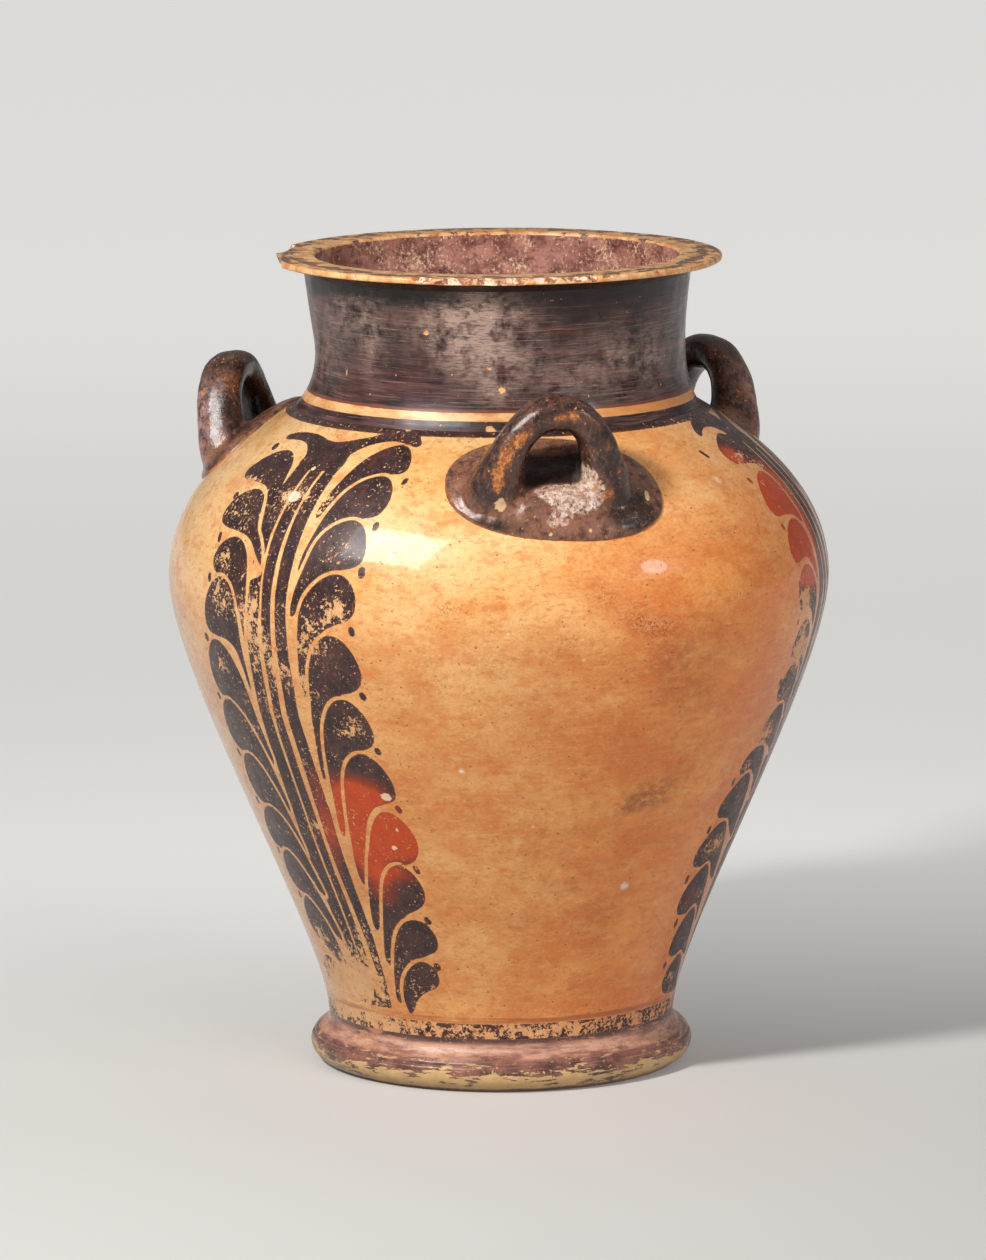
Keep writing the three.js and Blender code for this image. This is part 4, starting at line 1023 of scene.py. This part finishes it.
def make_foot():
    """The foot ring: a roll with a fine groove round its upper half, a cove, and the seat of the body."""
    roll = []
    for degrees in np.linspace(-64, 66, 90):
        cut = 1 - 0.07 * math.exp(-((degrees - 27) / 4) ** 2)
        a = math.radians(degrees)
        roll.append((94 + 12 * cut * math.cos(a), 10.5 + 10.5 * cut * math.sin(a)))
    cove = sweep(roll[-1], (94.6, 24.55), (WAIST_RADIUS, FOOT_HEIGHT), 0.6)
    section = [(85.3, 0), (98.2, 0)] + evenly(roll, 0.6) + cove[1:] + FOOT_SEAT
    return thrown("foot_ring", section, ((360, 360),))


def make_lower_body():
    """The lower bowl with its floor, up to the widest level."""
    inner = shifted(lower_wall(12), BODY_WALL)
    inner = [q for q in inner if 45 < q[1] < BELLY_LEVEL - 1]
    fillet = sweep(inner[0], (88, FLOOR_LEVEL), (72, FLOOR_LEVEL), 6)
    section = [(0, SEAT_LEVEL)] + FOOT_SEAT[::-1] + lower_wall(1.9) + BELLY_SEAT
    section += inner[::-1] + fillet[1:] + [(36, FLOOR_LEVEL), (0, FLOOR_LEVEL)]
    return thrown("painted_lower_body", section, PANEL_ARCS, PANEL_START)


def make_shoulder():
    """The upper bowl, from the widest level to the neck seat."""
    inner = shifted(shoulder_wall(10), BODY_WALL)
    section = BELLY_SEAT[::-1] + shoulder_wall(1.3)
    section += [(SPIGOT_RADIUS, NECK_SEAT), (SPIGOT_RADIUS, SPIGOT_LEVEL)] + inner[1:][::-1]
    return thrown("painted_shoulder", section, PANEL_ARCS, PANEL_START)


def make_neck():
    """The flaring neck with its spigot, pressed in a little on its left, low down."""
    outside = neck_wall(1.2)
    inside = bend((MOUTH_RADIUS, LIP_SEAT), (95, 405), (95, 380), (SPIGOT_BORE, SPIGOT_LEVEL), 3)
    section = [(SPIGOT_BORE, SPIGOT_LEVEL), (SPIGOT_RADIUS, SPIGOT_LEVEL), (SPIGOT_RADIUS, NECK_SEAT)]
    piece = thrown("neck_wall", section + outside + inside[:-1], ((360, 480),))
    p = points_of(piece)
    level = p[:, 2]
    radius, azimuth = round_of(p)
    left = np.clip(np.cos(np.radians(azimuth + 101)), 0, 1) ** 1.5
    dent = 2.9 * left * np.exp(-((level - 391) / 21) ** 2) * step_up(level, NECK_SEAT + 1, NECK_SEAT + 10)
    p[:, :2] *= (1 - dent / radius)[:, None]
    move_points(piece, p)
    x = np.radians(azimuth) * radius
    wall = np.interp(level, [z for r, z in outside], [r for r, z in outside])
    note(piece, "inside", (radius < SPIGOT_RADIUS + 0.2) & (wall - radius > 4.5))
    note(piece, "film_and_sheen", spots(x, level, NECK_FILM_AND_SHEEN))
    note(piece, "chipped", spots(x, level, NECK_CHIPS))
    return piece


def broken_rim(p, radius, azimuth):
    """How far out the rim still reaches at each point, past the chips and breaks."""
    level = p[:, 2]
    ragged = lumps(p, 3.0, 40) * 0.35 + lumps(p, 1.3, 60) * 0.2
    cut = np.full(len(p), LIP_RADIUS + 1)
    for middle, height, reach, high, depth in RIM_CHIPS:
        along = around(azimuth, middle, LIP_RADIUS) + 2.5 * ragged
        scoop = 1 - (along / reach) ** 2 - ((level - height + ragged) / high) ** 2
        bottom = LIP_RADIUS - depth * np.sqrt(np.maximum(scoop, 0)) + 0.5 * ragged
        cut = np.where(scoop > 0, np.minimum(cut, bottom), cut)
    for middle, reach, depth in RIM_BREAKS:
        along = around(azimuth, middle, LIP_RADIUS) + 2 * ragged
        gap = np.clip(1 - (along / reach) ** 4, 0, 1) ** 0.6
        # A break slants through the thickness of the lip.
        bottom = LIP_RADIUS - depth * gap + 0.35 * (level - 448) + 1.5 * ragged
        cut = np.where(gap > 0, np.minimum(cut, bottom), cut)
    return cut


def make_lip():
    """The flat lip, a little wavy on top, with its rim chipped and broken."""
    under = sweep((NECK_TOP, LIP_SEAT), (112.5, UNDER_LIP), (121.6, UNDER_LIP), 1)
    edge = sweep(under[-1], (LIP_RADIUS, UNDER_LIP), (LIP_RADIUS, UNDER_LIP + 1.2), 0.4)
    edge += sweep((LIP_RADIUS, MOUTH_LEVEL - 1.8), (LIP_RADIUS, MOUTH_LEVEL - 0.1), (120.8, MOUTH_LEVEL), 0.4)
    top = evenly([(120.8, MOUTH_LEVEL), (MOUTH_RADIUS + RIM_ROUND, MOUTH_LEVEL)], 0.9)
    inner = sweep(top[-1], (MOUTH_RADIUS, MOUTH_LEVEL), (MOUTH_RADIUS, MOUTH_LEVEL - RIM_ROUND), 0.4)
    section = [(MOUTH_RADIUS, LIP_SEAT)] + under + edge[1:] + top[1:] + inner[1:]
    piece = thrown("lip_flange", section, ((360, 840),))
    p = points_of(piece)
    radius, azimuth = round_of(p)
    back = np.maximum(radius - broken_rim(p, radius, azimuth), 0)
    wave = 0.35 * lumps(p * (1, 1, 0.01), 60, 5)
    p[:, :2] *= (1 - back / radius)[:, None]
    p[:, 2] -= np.clip(wave, 0, 1) * step_up(p[:, 2], 445, 449)
    move_points(piece, p)
    level = p[:, 2]
    note(piece, "broken", step_up(back, 0, 0.3))
    note(piece, "inside", step_up(radius, 101.4, 100.6) * step_up(level, 449.2, 447.7))
    note(piece, "below", (level < UNDER_LIP + 0.3) & (radius > MOUTH_RADIUS + 2))
    note(piece, "rim_way", np.abs(np.radians(azimuth)) * LIP_RADIUS)
    note(piece, "rim_out", radius - MOUTH_RADIUS)
    return piece


# Handles

# Half of an arch: across from its middle, below the crown's middle line, out from the axis, and the coil's
# half width and half depth.
ARCH = (
    (0, 0, 157.5, 9.8, 12.8), (8.5, 1.6, 157.5, 9.4, 12.8), (15, 6.2, 157.5, 8.9, 12.6),
    (19.8, 11.8, 157.3, 8.9, 12.6), (23, 17.4, 156.8, 9.5, 12.8), (25.2, 23.4, 156, 10.6, 13),
    (27.4, 30, 155, 12, 13.4), (29.5, 38.5, 153.4, 14, 14), (30.5, 47, 151.5, 15, 13.5),
    (31, 57, 148, 13.5, 12),
)
# The middle of a pad lies at this run up the wall, and its upper half reaches this far up from there.
PAD_RUN, PAD_UP = run_at(PAD_RADIUS), 43.5
# On the front handle, (across, level, reach across, reach up, strength).
RUBBED = (
    (-16.8, 372, 4, 4, 1.0), (-23.5, 368.6, 4, 5, 1.2), (-29.3, 360, 3.6, 6, 1.3),
    (-32.7, 350.8, 3.6, 6, 1.3), (-33.5, 343, 3.2, 5, 1.2), (6.6, 382, 4, 3.6, 1.1),
    (-1, 380.6, 4, 3, 0.9), (25.8, 364, 2, 3, 0.9), (32.5, 350.8, 2, 3, 0.9), (26.5, 338, 5, 5, 1.5),
    (33, 330, 5, 4, 1.3), (-57.8, 335.5, 5, 5, 0.9), (-46, 341, 6, 4, 0.6), (38, 316, 8, 2, 0.8),
    (-3, 323, 6, 2.4, 0.9),
)
CHALKY = (
    (8.3, 335.5, 13, 7, 1.3), (15.5, 346.6, 5, 8, 0.9), (-2, 325, 7, 4, 0.7), (-4, 340, 9, 3, 0.8),
    (20, 341, 5, 6, 0.8),
)
# Where the slip lies thick; the spots on the pad right of the arch are painted shade that the arch casts.
THICK_AND_SHADED = (
    (38, 333, 12, 8, 1.2), (-39, 337, 7, 7, 0.9), (-34, 323, 12, 5, 0.9), (22, 369, 5, 5, 0.9),
    (29, 356, 4, 6, 0.9), (-8, 371, 8, 4, 0.7), (46, 325, 9, 7, 1.5), (36, 326, 8, 6, 1.0),
)
HANDLE_SCARS = (
    (-31.4, 334.2, 2.8, 3.8, 1.6), (51, 334.7, 1.6, 2.6, 1.3), (-6, 318.8, 1.2, 1.2, 1.2),
    (16, 320, 1, 1, 1.1),
)
# The rise of each crown above the wall and the reach of its pad down the wall. The front handle was pushed
# askew: its crown leans, its coil and pad stand to one side, and the pad is tilted.
HANDLES = {
    "front": {"turn": 0, "rise": 55, "pad_down": 28,
              "lean": 4.5, "shift": -4.0, "pad_shift": 2.0, "pad_tilt": 4.2},
    "right": {"turn": 120, "rise": 54, "pad_down": 22},
    "left": {"turn": 240, "rise": 53, "pad_down": 21},
}


def smooth_run(points, steps):
    """An open curve through the points."""
    p = np.array(points, float)
    p = np.vstack([2 * p[0] - p[1], p, 2 * p[-1] - p[-2]])
    run = [through(*p[k - 1:k + 3], t) for k in range(1, len(p) - 2) for t in np.arange(steps) / steps]
    return run + [p[-2]]


def surface_near(p):
    """Height of points above the shoulder's face, and the way that the face looks, for points in mm."""
    along = directions(SHOULDER)
    radius = np.hypot(p[:, 0], p[:, 1])
    nearest = np.empty(len(p), int)
    # A share of the points at a time, to keep the table of distances small.
    for first in range(0, len(p), 20000):
        b = slice(first, first + 20000)
        gap = (radius[b, None] - SHOULDER[None, :, 0]) ** 2 + (p[b, 2, None] - SHOULDER[None, :, 1]) ** 2
        nearest[b] = gap.argmin(1)
    out = np.c_[along[nearest, 1], -along[nearest, 0]]
    height = (radius - SHOULDER[nearest, 0]) * out[:, 0] + (p[:, 2] - SHOULDER[nearest, 1]) * out[:, 1]
    return height, np.c_[p[:, 0] / radius * out[:, 0], p[:, 1] / radius * out[:, 0], out[:, 1]]


def coil(bm, path, sizes):
    """Rolls a coil of clay along a path: a ring is extruded from station to station."""
    ring = bmesh.ops.create_circle(bm, cap_ends=True, segments=28, radius=1.0)["verts"]
    for v in ring:
        # Not quite round: a strap that was pressed flat a little.
        v.co = [math.copysign(abs(c) ** 0.84, c) for c in v.co]
    edges = [e for e in bm.edges if set(e.verts) <= set(ring) and len(e.link_faces) == 1]
    placed = Matrix.Identity(4)
    for k, (centre, (half_width, half_depth)) in enumerate(zip(path, sizes)):
        ahead = Vector(path[min(k + 1, len(path) - 1)]) - Vector(path[max(k - 1, 0)])
        along = ahead.normalized()
        across = Vector((centre[0], centre[1], 0)).cross(along).normalized()
        deep = along.cross(across)
        here = Matrix((across * half_width, deep * half_depth, along)).transposed().to_4x4()
        here.translation = Vector(centre)
        if k:
            made = bmesh.ops.extrude_edge_only(bm, edges=edges)["geom"]
            ring = [v for v in made if isinstance(v, bmesh.types.BMVert)]
            edges = [e for e in made if isinstance(e, bmesh.types.BMEdge) and set(e.verts) <= set(ring)]
        bmesh.ops.transform(bm, matrix=here @ placed.inverted(), verts=ring)
        placed = here
    bmesh.ops.contextual_create(bm, geom=edges)


def add_arch(bm, crown, lean, shift):
    """The coil of a handle, bent into an arch from foot to foot."""
    half = [(x, -out, crown - drop, wide, deep) for x, drop, out, wide, deep in ARCH]
    stations = smooth_run([(-x, *rest) for x, *rest in half[:0:-1]] + half, 5)
    path = []
    for (x, y, z, wide, deep), k in zip(stations, np.linspace(-1, 1, len(stations))):
        angle = (x + lean * (1 - k * k) + shift) / -y
        path.append((-y * math.sin(angle), y * math.cos(angle), z))
    coil(bm, path, [(q[3], q[4]) for q in stations])


def add_web(bm, crown, shift, pad_tilt):
    """The web of clay between the feet of the coil."""
    web = bmesh.ops.create_icosphere(bm, subdivisions=4, radius=1.0)["verts"]
    bmesh.ops.scale(bm, vec=(34, 14, 18), verts=web)
    bmesh.ops.rotate(bm, cent=(0, 0, 0), matrix=Matrix.Rotation(-0.055 * pad_tilt, 3, "Y"), verts=web)
    bmesh.ops.translate(bm, vec=(shift, -154.5, crown - 57.5), verts=web)
    bmesh.ops.recalc_face_normals(bm, faces=bm.faces)


def add_pad(bm, pad_down, pad_shift, pad_tilt):
    """The oval pad, bent round the wall: its lower half is squarer than its upper one."""
    for v in bmesh.ops.create_icosphere(bm, subdivisions=6, radius=1.0)["verts"]:
        x, y, z = v.co
        reach = min(1.0, math.hypot(x, y))
        if y < 0:
            square = (abs(x / reach) ** 2.5 + abs(y / reach) ** 2.5) ** -0.4 if reach > 0.01 else 1
            x, y = x * square, y * square
        run = PAD_RUN + y * (PAD_UP if y > 0 else pad_down) - pad_tilt * x
        rounded = (1 - reach ** 10) ** 0.5
        height = 2.2 * rounded + 4.4 * (1 - reach ** 2) if z > 0 else -3.0 * rounded
        (radius, level), (next_radius, next_level) = wall_at(run), wall_at(run + 1)
        away = radius + height * (next_level - level)
        angle = (x * PAD_HALF_WIDTH + pad_shift) / radius
        v.co = (away * math.sin(angle), -away * math.cos(angle), level + height * (radius - next_radius))


def one_clay(bm, name):
    """Melts the closed forms of a mesh in mm into one skin, in metres."""
    rough = finished(bm, name)
    rough.data.transform(Matrix.Scale(MM, 4))
    remesh = rough.modifiers.new("one_clay", "REMESH")
    remesh.mode = "VOXEL"
    remesh.voxel_size = 0.9 * MM
    solid = bpy.data.meshes.new_from_object(rough.evaluated_get(bpy.context.evaluated_depsgraph_get()))
    bpy.data.objects.remove(rough)
    bm = bmesh.new()
    bm.from_mesh(solid)
    bpy.data.meshes.remove(solid)
    return bm


def smooth(bm, verts, times):
    """Wipes the mesh smooth at some vertices, and says where it lies then."""
    for _ in range(times):
        bmesh.ops.smooth_vert(bm, verts=verts, factor=0.5, use_axis_x=True, use_axis_y=True, use_axis_z=True)
    p = np.array([v.co[:] for v in bm.verts]) / MM
    return p, *surface_near(p)


def note_handle(piece, p, place, turn):
    """Notes where a handle's slip is rubbed, thick, chalky or scarred, and where shade and sheen are painted;
    p as if it stood in front.
    """
    height = surface_near(p)[0]
    x, level = p[:, 0], p[:, 2]
    none = np.zeros(len(p))
    if place == "front":
        notes = {"rubbed": spots(x, level, RUBBED), "chalky": spots(x, level, CHALKY) * (p[:, 1] < -140),
                 "thick": spots(x, level, THICK_AND_SHADED), "scarred": spots(x, level, HANDLE_SCARS), "painted_sheen": none}
    else:
        # Painted sheen on the outer faces of the side handles.
        outer = step_up(-p[:, 1], 150, 162) * step_up(level, 322, 332) * step_up(level, 382, 368)
        notes = {"rubbed": 0.55 * np.clip(lumps(p, 16, 20 + turn) * 2.2, 0, 1), "chalky": none,
                 "thick": np.clip(lumps(p, 20, 50 + turn) * 2, 0, 1), "scarred": none, "painted_sheen": outer}
    # Painted shadow under the arch.
    radius = np.hypot(x, p[:, 1])
    hollow = step_up(radius, 134, 138) * step_up(radius, 157.5, 154.5) * step_up(np.abs(x + 3), 26, 20)
    notes["hollow"] = hollow * step_up(height, 19, 15)
    notes["above"] = np.clip(height, -3, 80)
    for name, values in notes.items():
        note(piece, name, values)


def make_handle(place, turn, rise, pad_down, lean=0, shift=0, pad_shift=0, pad_tilt=0):
    """One handle: a coil bent into an arch, bedded in an oval pad, smoothed over in one mesh."""
    crown = level_at(HANDLE_RADIUS) + rise
    bm = bmesh.new()
    add_arch(bm, crown, lean, shift)
    add_web(bm, crown, shift, pad_tilt)
    add_pad(bm, pad_down, pad_shift, pad_tilt)
    bm = one_clay(bm, f"rough_{place}")
    p, height, way = smooth(bm, bm.verts, 4)
    # The joints between coil, web and pad are wiped smooth; the rim of the pad stays crisp.
    bm.verts.ensure_lookup_table()
    joint = np.flatnonzero((height > 3.4) & (height < 24))
    p, height, way = smooth(bm, [bm.verts[k] for k in joint], 22)
    if place != "front":
        # The crowns at the sides slope down outwards.
        p[:, 2] += 0.13 * (HANDLE_RADIUS - 3.5 + p[:, 1]) * step_up(p[:, 2], crown - 24, crown - 4)
    dents = 0.5 * lumps(p, 14, 3.1 + turn) + 0.22 * lumps(p, 5, 8.7 + turn)
    # What lies deep in the wall is drawn up to just under its face.
    push = np.where(height > 2, dents, 0) + np.maximum(0, -3 - height)
    p += way * push[:, None]
    spin = Matrix.Rotation(math.radians(turn), 3, "Z")
    for v, q in zip(bm.verts, p):
        v.co = spin @ Vector(q * MM)
    piece = finished(bm, f"handle_{place}_piece", sharp=2.5)
    note_handle(piece, points_of(piece) @ np.array(spin), place, turn)
    return piece


# Building

def dress(piece, material, slot, *nodes):
    """Gives a piece its material and puts it in the place of the CAD's nodes."""
    piece.data.materials.append(material)
    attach(piece, "root")
    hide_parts(*nodes)


foot = make_foot()
lower_body = make_lower_body()
shoulder = make_shoulder()
neck = make_neck()
lip = make_lip()
paint_wall(lower_body)
paint_wall(shoulder)

clay = painted_clay()
dress(foot, foot_slip(), "slip", "foot")
dress(lower_body, clay, "clay", "lower_body")
dress(shoulder, clay, "clay", "shoulder")
dress(neck, neck_slip(), "slip", "neck")
dress(lip, lip_clay(), "lip_clay", "lip")

worn_slip = handle_slip()
for place, form in HANDLES.items():
    dress(make_handle(place, **form), worn_slip, "worn_slip", f"handle_{place}", f"handle_root_{place}")


# Floor, light, camera. From here on, lengths are in metres.

# The photograph's frame in pixels: its long side, the focal length and how far the view is shifted.
PHOTO_HEIGHT, FOCAL_PIXELS, SHIFT_PIXELS = 1260, 8118, (-6.4, 31.3)
SENSOR_MM = 36
CAMERA_AZIMUTH, CAMERA_ELEVATION, CAMERA_ROLL = -11.3, 9.52, -0.30
CAMERA_DISTANCE, CAMERA_HEIGHT = 4.435, 0.966
AIM_HEIGHT = 0.26
FLOOR_HALF = 24
turned = math.radians(CAMERA_AZIMUTH)


def lamp(name, azimuth, elevation, distance, size, energy, tint=(1, 1, 1)):
    """A rectangular lamp of so many watts that looks at the middle of the jar, azimuth from the camera."""
    data = bpy.data.lights.new(name, "AREA")
    data.shape = "RECTANGLE"
    data.size, data.size_y = size
    data.energy = energy
    data.color = tint
    stand = bpy.data.objects.new(name, data)
    a, e = math.radians(CAMERA_AZIMUTH + azimuth), math.radians(elevation)
    away = Vector((math.sin(a) * math.cos(e), -math.cos(a) * math.cos(e), math.sin(e)))
    stand.location = Vector((0, 0, AIM_HEIGHT)) + away * distance
    stand.rotation_mode = "QUATERNION"
    stand.rotation_quaternion = away.to_track_quat("Z", "Y")
    bpy.context.scene.collection.objects.link(stand)
    return stand


key = lamp("key", -38, 36, 1.9, (0.24, 0.20), 38, (1, 0.985, 0.96))
key.visible_glossy = False
softbox = lamp("softbox", -45, 42, 1.7, (0.88, 0.62), 26)
softbox.visible_diffuse = False
umbrella = lamp("umbrella", 57, 25, 1.9, (0.30, 0.30), 2.4)
umbrella.data.shape = "DISK"
fill = lamp("fill", 34, 12, 2.8, (1.4, 1.4), 27)
fill.visible_glossy = False

world = bpy.data.worlds.new("studio")
world.use_nodes = True
world.node_tree.nodes["Background"].inputs["Color"].default_value = (1, 0.99, 0.98, 1)
world.node_tree.nodes["Background"].inputs["Strength"].default_value = 0.22
bpy.context.scene.world = world


def studio_floor():
    """A pale floor that runs out into a pale backdrop. It throws back less light than the camera sees."""
    m = Recipe("studio_floor")
    path = m.node("ShaderNodeLightPath").outputs
    seen = m.most(m.most(path["Is Camera Ray"], path["Is Glossy Ray"]), path["Is Transmission Ray"])
    # In mm from the middle of the jar: to the camera's right, and away from it.
    aslant = m.measure("DOT_PRODUCT", m.mm, (math.cos(turned), math.sin(turned), 0))
    beyond = m.measure("DOT_PRODUCT", m.mm, (-math.sin(turned), math.cos(turned), 0))
    # Past the lamps the floor shines by itself, so that it looks as pale from every side.
    outer = m.fade(m.most(m.calc("ABSOLUTE", aslant), m.times(beyond, -1)), 750, 1500)
    tone = m.blend(beyond, -900, -200, (0.52, 0.515, 0.50), (0.61, 0.605, 0.59))
    colour = m.mix(seen, (0.34, 0.33, 0.315), m.mix(outer, tone, (0, 0, 0)))
    glow = m.plus(m.fade(beyond, -350, 700, 0, 0.37), m.fade(beyond, 800, 3600, 0, 0.20))
    glow = m.most(glow, m.times(outer, 0.62))
    return m.finish(colour, 0.85, m.grain(2, 3), depth=0.04, specular=0.1, emission=(1, 0.99, 0.965),
                    emission_strength=m.times(glow, seen))


floor_mesh = bmesh.new()
bmesh.ops.create_grid(floor_mesh, x_segments=1, y_segments=1, size=FLOOR_HALF)
floor = finished(floor_mesh, "studio_floor")
floor.data.materials.append(studio_floor())

camera_data = bpy.data.cameras.new("camera")
camera_data.sensor_fit = "AUTO"
camera_data.sensor_width = SENSOR_MM
camera_data.lens = SENSOR_MM * FOCAL_PIXELS / PHOTO_HEIGHT
camera_data.shift_x, camera_data.shift_y = (shift / PHOTO_HEIGHT for shift in SHIFT_PIXELS)
camera_data.clip_start, camera_data.clip_end = 0.1, 60
camera = bpy.data.objects.new("camera", camera_data)
camera.location = (CAMERA_DISTANCE * math.sin(turned), -CAMERA_DISTANCE * math.cos(turned), CAMERA_HEIGHT)
camera.rotation_euler = (Matrix.Rotation(turned, 4, "Z")
                         @ Matrix.Rotation(math.radians(90 - CAMERA_ELEVATION), 4, "X")
                         @ Matrix.Rotation(math.radians(CAMERA_ROLL), 4, "Z")).to_euler()
bpy.context.scene.collection.objects.link(camera)
bpy.context.scene.camera = camera
bpy.context.scene.view_settings.view_transform = "Standard"
